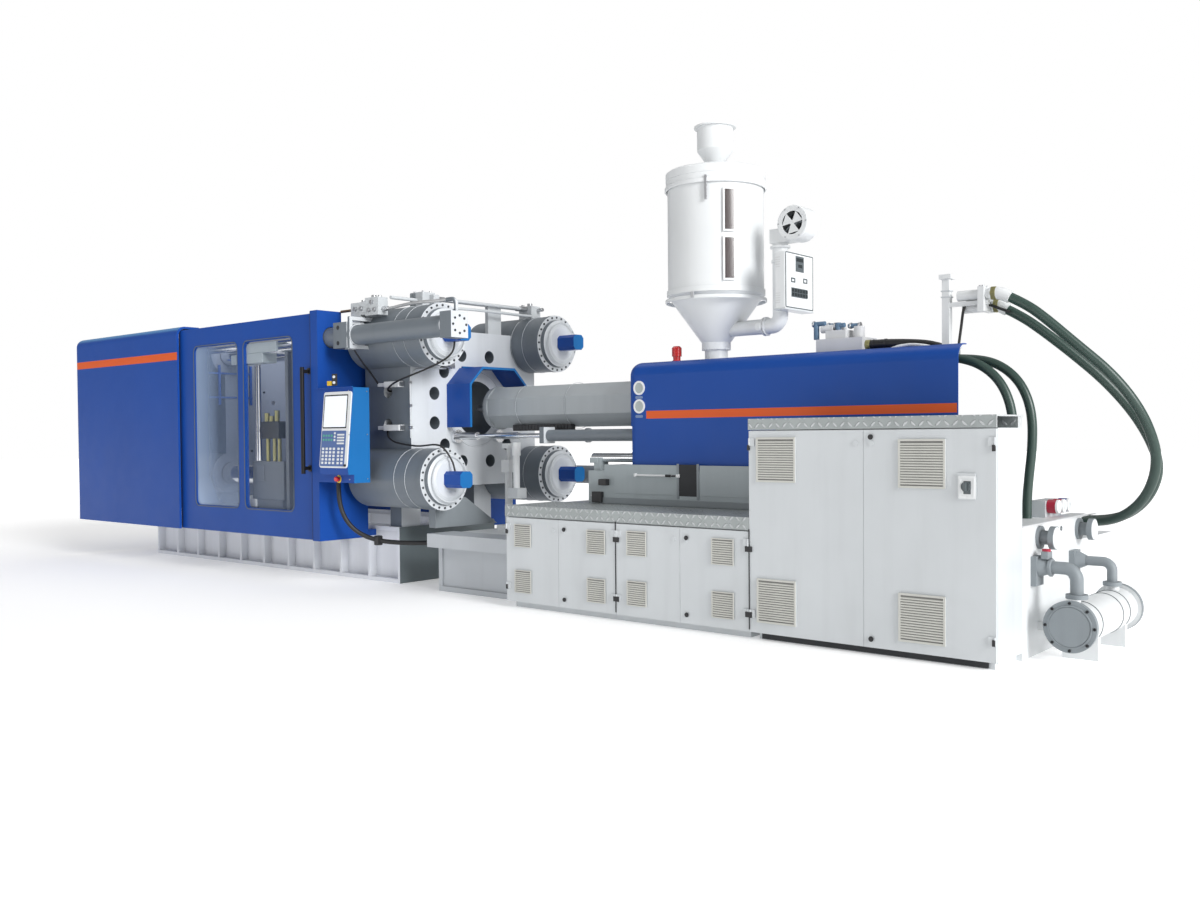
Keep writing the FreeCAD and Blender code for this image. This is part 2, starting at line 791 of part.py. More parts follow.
def make_nut_jaws(label, side):
    """Half nuts of the four bars on one side, drawn apart while the mould is open."""
    jaws = []
    for index, (y, z) in enumerate(bar_places):
        centre = y + jaw_opening * side
        near_face = centre + slide_gap * side
        far_face = centre + jaw_half * side
        jaw_y = (near_face, far_face) if side > 0 else (far_face, near_face)
        block = box("jaw_block", (jaw_back + 1, jaw_front), jaw_y, (z - jaw_half, z + jaw_half))
        bore = rod("jaw_bore", "X", centre, z, (jaw_back, jaw_front + 1), bar_radius + slide_gap)
        jaws.append(cut("%s_%d" % (label, index), block, [bore]))
    node(group(label, jaws), label)


def make_ejector():
    """Crosshead with four push rods through the moving platen and the piston rod in its barrel."""
    back = moving_back - ejector_barrel_length - ejector_stroke - ejector_plate - 10
    front = back + ejector_plate
    side = ejector_spread_side + 50
    rise = ejector_spread_height + 50
    parts = [box("crosshead", (back, front), (-side, side), (axis_height - rise, axis_height + rise))]
    for y in (-1, 1):
        for z in (-1, 1):
            rod_y = ejector_spread_side * y
            rod_z = axis_height + ejector_spread_height * z
            parts.append(rod("push_rod", "X", rod_y, rod_z, (front - 1, moving_face - 5),
                ejector_rod_radius))
    piston_end = moving_back - 20
    parts.append(rod("ejector_piston_rod", "X", 0, axis_height, (front - 1, piston_end), ejector_piston_rod))
    node(fuse("ejector", parts), "ejector")


# ---------------------------------------------------------------- guards
def make_left_cover():
    """Fixed hood over the clamp's far end: front, end and rear walls with a lip along the top."""
    inner_left = guard_left + guard_wall
    inner_half = guard_half - guard_wall
    inner_top = guard_top - guard_wall
    outer = box("hood_outer", (guard_left, guard_seam), (-guard_half, guard_half), (guard_bottom, guard_top))

    shell = rounded("hood_rounded", outer, guard_round, hood_edges(guard_left, guard_top))
    inside = box("hood_inside", (inner_left, guard_seam + 1), (-inner_half, inner_half),
        (guard_bottom - 1, inner_top))
    tools = [
        rounded("hood_room", inside, guard_round - guard_wall, hood_edges(inner_left, inner_top)),
        box("hood_open_top", (guard_left + guard_lip, guard_seam + 1),
            (guard_lip - guard_half, guard_half - guard_lip), (inner_top - 1, guard_top + 1)),
    ]
    parts = [cut("hood_shell", shell, tools)]
    for side in (-1, 1):
        bracket_y = (260 * side - 40, 260 * side + 40)
        parts.append(box("hood_bracket", (inner_left - 1, base_left), bracket_y, (guard_bottom + 9,
            guard_bottom + 69)))
    node(fuse("left_cover", parts), "left_cover")


def window_hole(name, left, right, bottom, top, y_span, corner):
    """A rounded window through a panel."""
    block = box(name + "_block", (left, right), y_span, (bottom, top))
    return rounded(name, block, corner, lambda first, second: near(first.x,
        second.x) and near(first.z, second.z))


def door_panel(label, inner, outer):
    """Flat leaf of a sliding guard door, seen from its inner face to its outer face."""
    span = (inner, outer) if outer.value > inner.value else (outer, inner)
    return box(label + "_panel", (door_left, post_left - seam_gap), span, (guard_bottom + 4, door_top))


def door_handle(label, side):
    """Round bar on two feet near the closing edge; side is -1 on the front door and 1 on the rear one."""
    grip_y = (door_face + handle_reach - handle_radius) * side
    parts = [rod(label + "_grip", "Z", handle_x, grip_y, (handle_bottom, handle_top), handle_radius)]
    for height in (handle_bottom + 30, handle_top - 30 - handle_radius):
        foot_y = (grip_y, 1 - door_face) if side < 0 else (door_face - 1, grip_y)
        foot_x = (handle_x - handle_radius * 0.8, handle_x + handle_radius * 0.8)
        parts.append(box(label + "_handle_foot", foot_x, foot_y, (height, height + handle_radius * 1.6)))
    return parts


def make_operator_door():
    """Front sliding door with two rounded windows and a bar handle."""
    panel = door_panel("front_door", door_wall - door_face, door_face * -1)
    reach = (-1 - door_face, door_wall + 1 - door_face)
    holes = []
    for left, right in ((window_left, window_split_left), (window_split_right, window_right)):
        holes.append(window_hole("front_window", left, right, window_bottom, window_top, reach,
            window_corner))
    parts = [cut("front_door_frame", panel, holes)] + door_handle("front_door", -1)
    node(fuse("operator_door", parts), "operator_door")


def make_rear_door():
    """Rear sliding door: a closed leaf with stiffening ribs across its inner face and the same handle."""
    parts = [door_panel("rear_door", door_face - door_wall, door_face)] + door_handle("rear_door", 1)
    for height in (960, 1200, 1500, 1700, 1920):
        rib_x = (door_left + 90, post_left - 90)
        rib_y = (door_face - door_wall - rib_depth, door_face - door_wall + 1)
        parts.append(box("rear_door_rib", rib_x, rib_y, (height, height + rib_width)))
    node(fuse("rear_door", parts), "rear_door")


def make_door_windows():
    """Clear panes set into the front door's two openings."""
    panes = []
    middle = door_wall / 2 - door_face
    y_span = (middle - pane_thickness / 2, middle + pane_thickness / 2)
    for left, right in ((window_left, window_split_left), (window_split_right, window_right)):
        panes.append(window_hole("pane", left, right, window_bottom, window_top, y_span, window_corner))
    node(group("door_windows", panes), "door_windows")


def post_outline(side):
    """Closing plate of the guard, notched round the tie bars and the platen's bracket."""
    low_notch = (bar_low - bar_radius - 10, bar_low + bar_radius + 35)
    bar_edge = bar_offset_side + bar_radius + 13
    high_notch = bar_high - bar_radius - 15
    shelf = 1920
    points = [
        (post_face, guard_bottom),
        (post_face, post_top),
        (862, post_top),
        (862, shelf),
        (bar_edge, shelf),
        (bar_edge, high_notch),
        (post_inner, high_notch),
        (post_inner, low_notch[1]),
        (bar_edge, low_notch[1]),
        (bar_edge, low_notch[0]),
        (620, low_notch[0]),
        (620, guard_bottom),
    ]
    return [(as_size(y) * side, z) for y, z in points]


def make_guard_post():
    """Front closing plate beside the fixed platen, with a hole for the traverse cylinder and a foot."""
    plate = prism("post_plate", "X", post_outline(-1), (post_left, post_right))
    hole = rod("post_hole", "X", -traverse_side, traverse_height, (post_left - 1, post_right + 1),
        traverse_tube + 6)
    foot = box("post_foot", (post_left + 10, post_right - 10), (-625, -base_half),
        (guard_bottom + 10, guard_bottom + 60))
    node(cut("guard_post", fuse("post_with_foot", [plate, foot]), [hole]), "guard_post")


def make_rear_guard():
    """Rear closing plate beside the fixed platen."""
    plate = prism("rear_post_plate", "X", post_outline(1), (post_left, post_right))
    height = axis_height * 2 - traverse_height
    hole = rod("rear_post_hole", "X", traverse_side, height, (post_left - 1, post_right + 1),
        traverse_tube + 6)
    foot = box("rear_foot", (post_left + 10, post_right - 10), (base_half, 625), (guard_bottom + 10,
        guard_bottom + 60))
    node(cut("rear_guard", fuse("rear_post_with_foot", [plate, foot]), [hole]), "rear_guard")


def make_control_box():
    """Operator box on the guard post with its tilted panel."""
    front = -post_face
    box_y = (front, front + box_depth)
    cabinet = box("box_body", (box_left, box_right), box_y, (box_bottom, box_top))
    tilt = 58
    tablet = [
        (front + 1, tablet_bottom),
        (front + 1, tablet_top),
        (front - 1, tablet_top),
        (front - tilt, tablet_bottom + tablet_depth),
        (front - tilt + 6, tablet_bottom),
    ]
    panel = prism("box_panel", "X", tablet, (tablet_left, box_right))
    bore = rod("e_stop_bore", "Y", e_stop_x, e_stop_height, (front - 1, front + 40),
        e_stop_stem + shaft_clearance)
    node(cut("control_box", fuse("box_and_panel", [cabinet, panel]), [bore]), "control_box")


def make_e_stop():
    """Mushroom button whose stem slides in the operator box."""
    face = -post_face
    points = [
        (face - 38, 0), (face - 38, 13), (face - 30, 20), (face - 16, 20), (face - 16, e_stop_stem),
        (face + 15, e_stop_stem), (face + 15, 0),
    ]
    node(lathe("e_stop", "Y", (e_stop_x, 0, e_stop_height), points), "e_stop")


# ---------------------------------------------------------------- traverse cylinders and platen fittings
def make_traverse_cylinders():
    """Two mould-traverse cylinders clamped to the fixed platen, with flanged end blocks."""
    cylinders = []
    for side in (-1, 1):
        y = traverse_side * side
        z = traverse_height if side < 0 else axis_height * 2 - traverse_height
        parts = [rod("traverse_tube", "X", y, z, (traverse_left, traverse_right), traverse_tube)]
        block_y = (y - traverse_half, y + traverse_half)
        block_z = (z - traverse_rise, z + traverse_rise)
        parts.append(box("traverse_end", (traverse_right, traverse_right + traverse_block), block_y,
            block_z))
        if side < 0:
            top = (traverse_height + traverse_rise).value
            parts.append(bent_tube("traverse_elbow", [
                (elbow_x.value, y.value, top - 3), (elbow_x.value, y.value,
                    top + 92), (elbow_x.value - 95, y.value, top + 92),
            ], elbow_radius.value))
        edge = platen_half if side > 0 else -platen_half
        arm_y = (y - traverse_half, edge + 60) if side < 0 else (edge - 60, y + traverse_half)
        arm_z = (z - bracket_rise, z - bracket_rise * 0.4) if side < 0 else (z + bracket_rise * 0.4,
            z + bracket_rise)
        bracket_x = (bracket_left, bracket_left + bracket_length)
        arm_x = (bracket_left + 30, bracket_left + bracket_length - 30)
        parts.append(box("traverse_bracket", bracket_x, (y - bracket_half, y + bracket_half),
            (z - bracket_rise, z + bracket_rise)))
        parts.append(box("traverse_arm", arm_x, arm_y, arm_z))
        platen_side = box("platen_side", (0, platen_thickness),
                          (-platen_half, platen_half), (platen_bottom, platen_top))
        housings = [rod("housing_shape", "X", by, bz, (0, housing_length), housing_radius) for by,
            bz in bar_places]
        bore = [
            rod("traverse_cylinder_bore", "X", y, z, (traverse_left + 40, traverse_right + 20),
                traverse_bore),
            rod("traverse_gland", "X", y, z, (traverse_left - 1, traverse_left + 41),
                traverse_rod + shaft_clearance),
        ]
        cylinders.append(cut("traverse_cylinder_%d" % (1 + side), fuse("traverse_parts", parts),
                             bore + housings + [platen_side]))
    node(group("traverse_cylinders", cylinders), "traverse_cylinders")


def make_platen_manifold():
    """Hydraulic blocks and the pipes between them, along the tops of the fixed platen's housings."""
    pipe_x = (box_x[0] + box_x[1]) * 0.5
    front, back = manifold_y
    parts = [
        box("manifold_foot", (manifold_left, bracket_left + bracket_length - 5), (front, front + 28),
            (traverse_height + bracket_rise, manifold_bottom + 1)),
        box("manifold_low", (manifold_left, manifold_step), manifold_y, (manifold_bottom,
            manifold_bottom + 100)),
        box("manifold_high", (manifold_step - 1, manifold_right), manifold_y, (manifold_bottom - 10,
            manifold_bottom + 128)),
        rod("block_pipe", "Y", pipe_x, pipe_height - 12, (back - 1, box_y[0] + 1), pipe_radius),
        box("valve_box", box_x, box_y, (pipe_height + 50 - valve_box_rise, pipe_height + 50)),
        box("valve_box_foot", (box_x[0] + 30, box_x[1] - 30), (box_y[0] + 10, box_y[1] - 60),
            (pipe_height - 137, pipe_height + 51 - valve_box_rise)),
        box("end_fitting", (pipe_x + 14, pipe_x + 164), (bar_offset_side - fitting_half,
            bar_offset_side + fitting_half),
            (pipe_height - 107, pipe_height + 25)),
        box("pipe_stand", (stand_left, stand_left + 35), (150, 300), (platen_top,
            pipe_height + pipe_radius)),
    ]
    for x in (pipe_x + 60, pipe_x + 104):
        pipe_y = (box_y[1] - 1, bar_offset_side + 1 - fitting_half)
        parts.append(rod("long_pipe", "Y", x, pipe_height, pipe_y, pipe_radius))
    bridge_z = (pipe_height - 40, pipe_height + 30)
    parts.append(box("pipe_bridge", (pipe_x + 20, pipe_x + 124), (box_y[1] - 60, box_y[1]), bridge_z))
    housings = [rod("housing_shape", "X", y, z, (0, housing_length), housing_radius) for y, z in bar_places]
    node(cut("platen_manifold", fuse("manifold_parts", parts), housings), "platen_manifold")


def make_purge_hood():
    """Folded hood over the nozzle, hinged along its top edge at the platen."""
    gap = slide_gap * 2
    points = [
        (-hood_half, hood_bottom),
        (-hood_half, hood_shoulder),
        (-hood_top_half, hood_top),
        (hood_top_half, hood_top),
        (hood_half, hood_shoulder),
        (hood_half, hood_bottom),
        (hood_half - sheet_wall, hood_bottom),
        (hood_half - sheet_wall, hood_shoulder - sheet_wall * 0.4),
        (hood_top_half - sheet_wall * 0.4, hood_top - sheet_wall),
        (sheet_wall * 0.4 - hood_top_half, hood_top - sheet_wall),
        (sheet_wall - hood_half, hood_shoulder - sheet_wall * 0.4),
        (sheet_wall - hood_half, hood_bottom),
    ]
    folded = prism("hood_folded", "X", points, (hood_left + gap, hood_right))
    pin_x = hood_left + gap + lid_pin
    pin = rod("hood_pin", "Y", pin_x, hood_top + lid_pin - 1, (20 - hood_top_half,
        hood_top_half - 20), lid_pin)
    node(fuse("purge_hood", [folded, pin]), "purge_hood")


def make_clamp_cords():
    """Conduit from the operator box to the front step and the sensor leads of the near lock covers."""
    conduit = bent_tube("conduit", [
        (60, -1010, 840), (60, -1010, 732), (71, -994, 619), (97, -961, 527), (139, -911,
            454), (198, -849, 403),
        (274, -778, 372), (362, -705, 358), (460, -637, 354), (564, -583, 357), (668, -552,
            360), (768, -552, 360),
    ], 18)
    hose = bent_tube("traverse_hose", [
        (440, -850, 2175), (530, -850, 2175), (640, -866, 2178), (770, -894, 2180), (900, -922,
            2178), (1020, -943, 2173),
        (1120, -953, 2167), (1205, -955, 2165), (1290, -955, 2165),
    ], 12)
    cable_high = bent_tube("sensor_lead_high", [
        (1010, -637, 1903), (1010, -637, 1850), (985, -662, 1795), (930, -712, 1745), (850, -760, 1705),
        (740, -790, 1668), (620, -800, 1640), (500, -790, 1612), (400, -765, 1585), (325, -728, 1562),
        (292, -690, 1552), (282, -645, 1548),
    ], 7)
    node(group("clamp_cords", [conduit, hose, cable_high]), "clamp_cords")


# ---------------------------------------------------------------- injection bed, cabinets and steps
def make_bed():
    """Injection bed and oil tank with the drive's side tank behind it."""
    points = [
        (bed_left, 0),
        (bed_right, 0),
        (bed_right, bed_height),
        (step_right, bed_height),
        (step_right, step_height),
        (bed_left, step_height),
    ]
    tank = prism("tank", "Y", points, (-bed_front, bed_back))
    side_tank = box("side_tank", (rear_box_left, bed_right), (bed_back, rear_box_back), (0, rear_box_height))
    ports = box("return_ports", (bed_right - 150, bed_right - 59), (585, 775), (rear_box_height,
        rear_box_height + 130))
    node(fuse("bed", [tank, side_tank, ports]), "bed")


def make_front_step():
    """Step beside the fixed platen: a panelled box under a lipped plate."""
    body = box("step_box", (bed_left, step_right - 1), (-step_front, -bed_front), (0, step_height))
    panel = box("step_panel", (bed_left + 40, step_right - 41), (-step_front - 1, -step_front + 12),
        (40, step_height - step_lip))
    plate = box("step_plate", (bed_left - 23, step_right - 1), (-700, -bed_front + 60),
        (step_height, step_height + 8))
    lip = box("step_edge", (bed_left - 23, step_right - 1), (-700, -692), (step_height - step_lip,
        step_height + 8))
    node(fuse("front_step", [cut("step_body", body, [panel]), plate, lip]), "front_step")


def casing(name, left, right, top, dividers):
    """A cabinet shell open to the front, with inner walls."""
    front = -cabinet_front + door_thickness + slide_gap
    outer = box(name + "_outer", (left, right), (front, -bed_front), (cabinet_bottom, top))
    edges = [left] + dividers + [right]
    rooms = []
    for index in range(len(edges) - 1):
        room_left = edges[index] + casing_wall
        room_right = edges[index + 1] - casing_wall
        rooms.append(box("%s_room_%d" % (name, index), (room_left, room_right),
                         (front - 1, -bed_front - casing_wall), (cabinet_bottom + casing_wall,
                             top - casing_wall)))
    plinth = box(name + "_plinth", (left + 30, right - 30), (front + 40, -bed_front), (0, cabinet_bottom))
    return fuse(name, [cut(name + "_shell", outer, rooms), plinth])


def make_cabinets():
    """Low and tall equipment cabinets in front of the bed."""
    low = casing("low_casing", step_right, tall_left - 1, low_top, [low_seam_second])
    tall = casing("tall_casing", as_size(tall_left), bed_right, tall_top, [tall_seam])
    node(group("cabinets", [low, tall]), "cabinets")


def make_cabinet_door(label, left, right, top, grilles, hinge_right, fittings=()):
    """A door leaf with proud ventilation grilles; it turns about its outer front corner."""
    leaf_left = left + seam_gap / 2
    leaf_right = right - seam_gap / 2
    face = -cabinet_front
    parts = [box(label + "_leaf", (leaf_left, leaf_right), (face, face + door_thickness),
        (cabinet_bottom + 4, top - 4))]
    parts += fittings
    for x, z, side in grilles:
        parts.append(box(label + "_grille", (x, x + side), (face - grille_proud, face + 1), (z, z + side)))
    hinge_x = right - hinge_inset if hinge_right else left + hinge_inset
    hinge_y = face - hinge_radius - slide_gap
    strap_x = (hinge_x - 34, hinge_x) if hinge_right else (hinge_x, hinge_x + 34)
    for height in (cabinet_bottom + 90, top - 90):
        span = (height, height + hinge_length)
        parts.append(rod(label + "_hinge", "Z", hinge_x, hinge_y, span, hinge_radius))
        parts.append(box(label + "_hinge_strap", strap_x, (hinge_y - 1, face + 1), span))
    lock_x = leaf_left + 45 if hinge_right else leaf_right - 45
    parts.append(rod(label + "_lock", "Y", lock_x, top - 75, (face - 5, face + 1), 14.5))
    node(fuse(label, parts), label)


LOW_GRILLES = ((1841, 426, 111), (2502, 421, 106), (2837, 430, 115), (3485, 420, 105))


def make_cabinet_doors():
    for index in range(4):
        x, high, low = LOW_GRILLES[index]
        grilles = ((x, high, low_grille), (x, low, low_grille))
        hinge_right = index % 2 == 1
        left, right = low_edges[index], low_edges[index + 1]
        make_cabinet_door("low_door_%d" % (index + 1), left, right, low_top, grilles, hinge_right)
    left_grilles = ((3800, 915, tall_grille), (3800, 108, tall_grille))
    right_grilles = ((4668, 903, tall_grille), (4668, 100, tall_grille))
    make_cabinet_door("tall_door_1", as_size(tall_left), tall_seam, tall_top, left_grilles, False)
    plate = box("switch_plate", (4986, 5078), (-cabinet_front - switch_plate, 1 - cabinet_front), (852, 985))
    make_cabinet_door("tall_door_2", tall_seam, bed_right, tall_top, right_grilles, True, [plate])


def make_main_switch():
    """Rotary switch handle on the right tall door's plate."""
    face = -cabinet_front - switch_plate - slide_gap
    centre_x, centre_z = 5032, 918
    plate = rod("switch_disc", "Y", centre_x, centre_z, (face - 12, face), 24)
    grip = box("switch_grip", (centre_x - 7, centre_x + 7), (face - 30, face - 11), (centre_z - 22,
        centre_z + 22))
    node(fuse("main_switch", [plate, grip]), "main_switch")


def make_tread_plates():
    """Folded tread plates over the cabinets, each with a front lip."""
    front = -cabinet_front - 1
    low = prism("low_tread", "X", [
        (front, low_top + 4), (front + tread_thickness, low_top + 4),
        (front + tread_thickness, bed_height), (-bed_front + 160, bed_height),
        (-bed_front + 160, bed_height + tread_thickness), (front, bed_height + tread_thickness),
    ], (step_right - 12, tall_left - 2))
    low_rest = box("low_tread_rest", (step_right, tall_left - 2), (-bed_front - 60, -bed_front),
        (low_top, bed_height))
    tall_edge = tall_top + tread_lip
    tall = prism("tall_tread", "X", [
        (front, tall_top + 2), (front + tread_thickness, tall_top + 2),
        (front + tread_thickness, tall_edge - tread_thickness), (-476, tall_edge - tread_thickness),
        (-476, tall_edge), (front, tall_edge),
    ], (tall_left - 4, bed_right + 2))
    tall_rest = box("tall_tread_rest", (tall_left, bed_right), (-bed_front - 60, -bed_front),
                    (tall_top, tall_edge - tread_thickness))
    node(group("tread_plates", [fuse("low_tread_plate", [low, low_rest]), fuse("tall_tread_plate",
        [tall, tall_rest])]),
         "tread_plates")


# ---------------------------------------------------------------- injection unit frame
def make_unit_frame():
    """Two beams with end cross members that carry the guide bars."""
    frame = box("frame_outer", (frame_left, frame_right), (-frame_half, frame_half), (bed_height, frame_top))
    inner = frame_half - frame_beam
    well = box("frame_well", (frame_left + frame_beam, frame_right - frame_beam), (-inner, inner),
               (bed_height - 1, frame_top + 1))
    parts = [cut("frame_beams", frame, [well])]
    for side in (-1, 1):
        for start in (frame_left, frame_right - guide_block):
            block_y = (guide_side * side - 45, guide_side * side + 45)
            parts.append(box("guide_block", (start, start + guide_block), block_y, (frame_top,
                guide_height)))
    bores = []
    for side in (-1, 1):
        bores.append(rod("guide_seat", "X", guide_side * side, guide_height, (frame_left - 1,
            frame_right + 1),
                         guide_radius + shaft_clearance))
    node(cut("unit_frame", fuse("frame_with_blocks", parts), bores), "unit_frame")


def make_guide_bars():
    bars = []
    for index, side in enumerate((-1, 1)):
        span = (guide_left, frame_right + 20)
        bars.append(rod("guide_bar_%d" % index, "X", guide_side * side, guide_height, span, guide_radius))
    node(group("guide_bars", bars), "guide_bars")


def make_pull_rods():
    """Rods that draw the carriage to the platen, each screwed into a flanged sleeve."""
    rods = []
    back = platen_thickness
    for index, side in enumerate((-1, 1)):
        y = pull_side * side
        piston = pull_mouth + 45 + carriage_back + 10
        points = [
            (back, 0), (back, pull_sleeve * 1.9), (back + 40, pull_sleeve * 1.9), (back + 40, pull_sleeve),
            (pull_sleeve_end, pull_sleeve), (pull_sleeve_end, pull_rod), (piston, pull_rod),
            (piston, pull_bore - shaft_clearance), (piston + 30,
                pull_bore - shaft_clearance), (piston + 30, 0),
        ]
        rods.append(lathe("pull_rod_%d" % index, "X", (0, y, pull_height), points))
    node(group("pull_rods", rods), "pull_rods")


def make_barrel_support():
    """Pillar on the bed between the platen and the unit frame, with a clamp at its top."""
    parts = [
        box("pillar_foot", (880, 1060), (-90, 90), (step_height, step_height + 40)),
        rod("pillar_post", "Z", 970, -40, (step_height + 39, 900), 30),
        box("pillar_head", (930, 1010), (-80, 0), (900, 1000)),
        rod("pillar_rod", "Z", 970, -40, (999, 1090), 15),
        box("pillar_clamp", (935, 1005), (-75, -5), (1090, 1130)),
    ]
    node(fuse("barrel_support", parts), "barrel_support")


# ---------------------------------------------------------------- injection carriage
def make_barrel():
    """Plasticising barrel with its nozzle, bored for the screw."""
    right = hopper_x + barrel_tail
    points = [
        (nozzle_tip, 6), (nozzle_tip, 20), (nozzle_tip + 60, 34), (nozzle_tip + 150, 34),
        (nozzle_tip + 150, 70), (nozzle_tip + 260, 95), (nozzle_tip + 260, barrel_radius),
        (right, barrel_radius), (right, screw_radius + shaft_clearance),
        (nozzle_tip + 330, screw_radius + shaft_clearance), (nozzle_tip + 270, 6),
    ]
    barrel = lathe("barrel_body", "X", (0, 0, axis_height), points)
    throat = rod("feed_throat", "Z", hopper_x, 0, (axis_height, axis_height + barrel_radius + 1), 45)
    node(cut("barrel", barrel, [throat]), "barrel")


def make_screw():
    """Plasticising screw: plain core over the flights' outer radius, with a tip and a drive shank."""
    start = nozzle_tip + 350
    points = [
        (start, 0), (start + 70, screw_radius * 0.6), (start + 110, screw_radius),
        (hopper_x + barrel_tail - 10, screw_radius), (hopper_x + barrel_tail - 10, screw_radius * 0.6),
        (ram_right - 20, screw_radius * 0.6), (ram_right - 20, 0),
    ]
    node(lathe("screw", "X", (0, 0, axis_height), points), "screw")


def make_barrel_cover():
    """Eight-sided sheet cover round the barrel with a rounded front ring and an open slot below."""
    ring = shroud_radius + 12
    outline = []
    inner = []
    for corner in range(8):
        angle = math.radians(22.5 + 45 * corner)
        reach = 1.0 / math.cos(math.radians(22.5))
        outline.append((shroud_radius * (reach * math.cos(angle)),
            axis_height + shroud_radius * (reach * math.sin(angle))))
        wall = shroud_radius - sheet_wall
        inner.append((wall * (reach * math.cos(angle)), axis_height + wall * (reach * math.sin(angle))))
    tube = prism("shroud_tube", "X", outline, (shroud_left + 30, shroud_right))
    points = [
        (shroud_left, barrel_radius + 8), (shroud_left, ring - 20), (shroud_left + 10, ring - 5),
        (shroud_left + 30, ring), (shroud_left + 60, ring), (shroud_left + 60, barrel_radius + 8),
    ]
    nose = lathe("shroud_nose", "X", (0, 0, axis_height), points)
    hollow = prism("shroud_hollow", "X", inner, (shroud_left + 20, shroud_right + 1))
    front_hole = rod("shroud_front", "X", 0, axis_height, (shroud_left - 1, shroud_left + 70),
        barrel_radius + 8)
    ring_hollow = cut("shroud_shell", fuse("shroud_both", [tube, nose]), [hollow, front_hole])
    web = box("shroud_hanger", (shroud_left + 200, shroud_left + 215), (-20, 20),
              (axis_height + barrel_radius, axis_height + shroud_radius - 1))
    web_back = box("shroud_hanger_back", (shroud_right - 215, shroud_right - 200), (-20, 20),
                   (axis_height + barrel_radius, axis_height + shroud_radius - 1))
    node(fuse("barrel_cover", [ring_hollow, web, web_back]), "barrel_cover")


def make_carriage_housing():
    """Housing on the guide bars: barrel seat with feed throat, side beams, crosshead and tail beam."""
    left, right, half = housing_block_left, housing_block_right, housing_block_half
    parts = [box("seat_block", (left, right), (-half, half), (axis_height - 210, collar_bottom))]
    for side in (-1, 1):
        leg = (guide_side * side - 48, guide_side * side + 48)
        parts.append(box("seat_leg", (left, right), leg, (frame_top + 15, axis_height - 150)))
        beam_y = (-half, -half + 50) if side < 0 else (half - 50, half)
        beam_z = (axis_height - 205, axis_height - 140)
        parts.append(box("side_beam", (right - 1, rear_plate_left + 1), beam_y, beam_z))
    crosshead_y = (-guide_side - 48, guide_side + 48)
    head_top = collar_bottom - cover_round
    parts.append(box("rear_crosshead", (rear_plate_left, rear_plate_right), crosshead_y,
        (frame_top + 15, head_top)))
    parts.append(box("crosshead_cap", (rear_plate_left, rear_plate_right), (-half, half),
        (head_top - 1, collar_bottom)))
    parts.append(box("tail_beam", (rear_plate_right - 1, frame_right), (-30, 30),
        (collar_bottom - 70, collar_bottom)))
    parts.append(box("feed_port", (4440, 4500), (-110, 110), (1590, collar_bottom - 10)))
    tail = hopper_x + barrel_tail
    tools = [
        rod("barrel_seat", "X", 0, axis_height, (left - 1, tail), barrel_radius + shaft_clearance),
        rod("screw_passage", "X", 0, axis_height, (tail - 1, right + 1), screw_radius + 2),
        rod("throat", "Z", hopper_x, 0, (axis_height, collar_bottom + 1), 45),
        rod("motor_passage", "X", 0, axis_height, (rear_plate_left - 1, rear_plate_right + 1),
            motor_radius + 2),
    ]
    for side in (-1, 1):
        shoe = guide_radius + shaft_clearance
        tools.append(rod("shoe_bore", "X", guide_side * side, guide_height, (left - 1,
            rear_plate_right + 1), shoe))
        rod_place = (cylinder_side * side, axis_height + cylinder_rise * side)
        tools.append(rod("ram_rod_bore", "X", *rod_place, (rear_plate_left - 1,
            rear_plate_right + 1), ram_rod + 1))
    node(cut("carriage_housing", fuse("housing_parts", parts), tools), "carriage_housing")


def make_injection_cylinders():
    """Two injection cylinders bolted to the rear crosshead, diagonally beside the screw drive."""
    cylinders = []
    start = rear_plate_right
    end = cover_back_right - 20
    for index, side in enumerate((-1, 1)):
        points = [
            (start, ram_rod + shaft_clearance), (start, 82), (start + 30, 82), (start + 30,
                cylinder_bore + 16),
            (end, cylinder_bore + 16), (end, 0), (end - 20, 0), (end - 20, cylinder_bore),
            (start + 30, cylinder_bore), (start + 30, ram_rod + shaft_clearance),
        ]
        centre = (0, cylinder_side * side, axis_height + cylinder_rise * side)
        cylinders.append(lathe("injection_cylinder_%d" % index, "X", centre, points))
    node(group("injection_cylinders", cylinders), "injection_cylinders")


def make_ram():
    """Sliding ram plate with the screw motor and the two injection piston rods."""
    plate_y = (10 - housing_block_half, housing_block_half - 10)
    plate_z = (axis_height - 140 + slide_gap, axis_height + 150)
    parts = [
        box("ram_plate", (ram_left, ram_right), plate_y, plate_z),
        rod("screw_motor", "X", 0, axis_height, (ram_right - 1, ram_right + 200), motor_radius),
    ]
    for index, side in enumerate((-1, 1)):
        piston = rear_plate_right + 35
        points = [
            (ram_right - 1, 0), (ram_right - 1, ram_rod), (piston, ram_rod), (piston,
                cylinder_bore - shaft_clearance),
            (piston + 30, cylinder_bore - shaft_clearance), (piston + 30, 0),
        ]
        centre = (0, cylinder_side * side, axis_height + cylinder_rise * side)
        parts.append(lathe("ram_rod_%d" % index, "X", centre, points))
    bearing = rod("screw_bearing", "X", 0, axis_height, (ram_left - 1, ram_right - 19),
        screw_radius * 0.6 + shaft_clearance)
    node(cut("ram", fuse("ram_parts", parts), [bearing]), "ram")


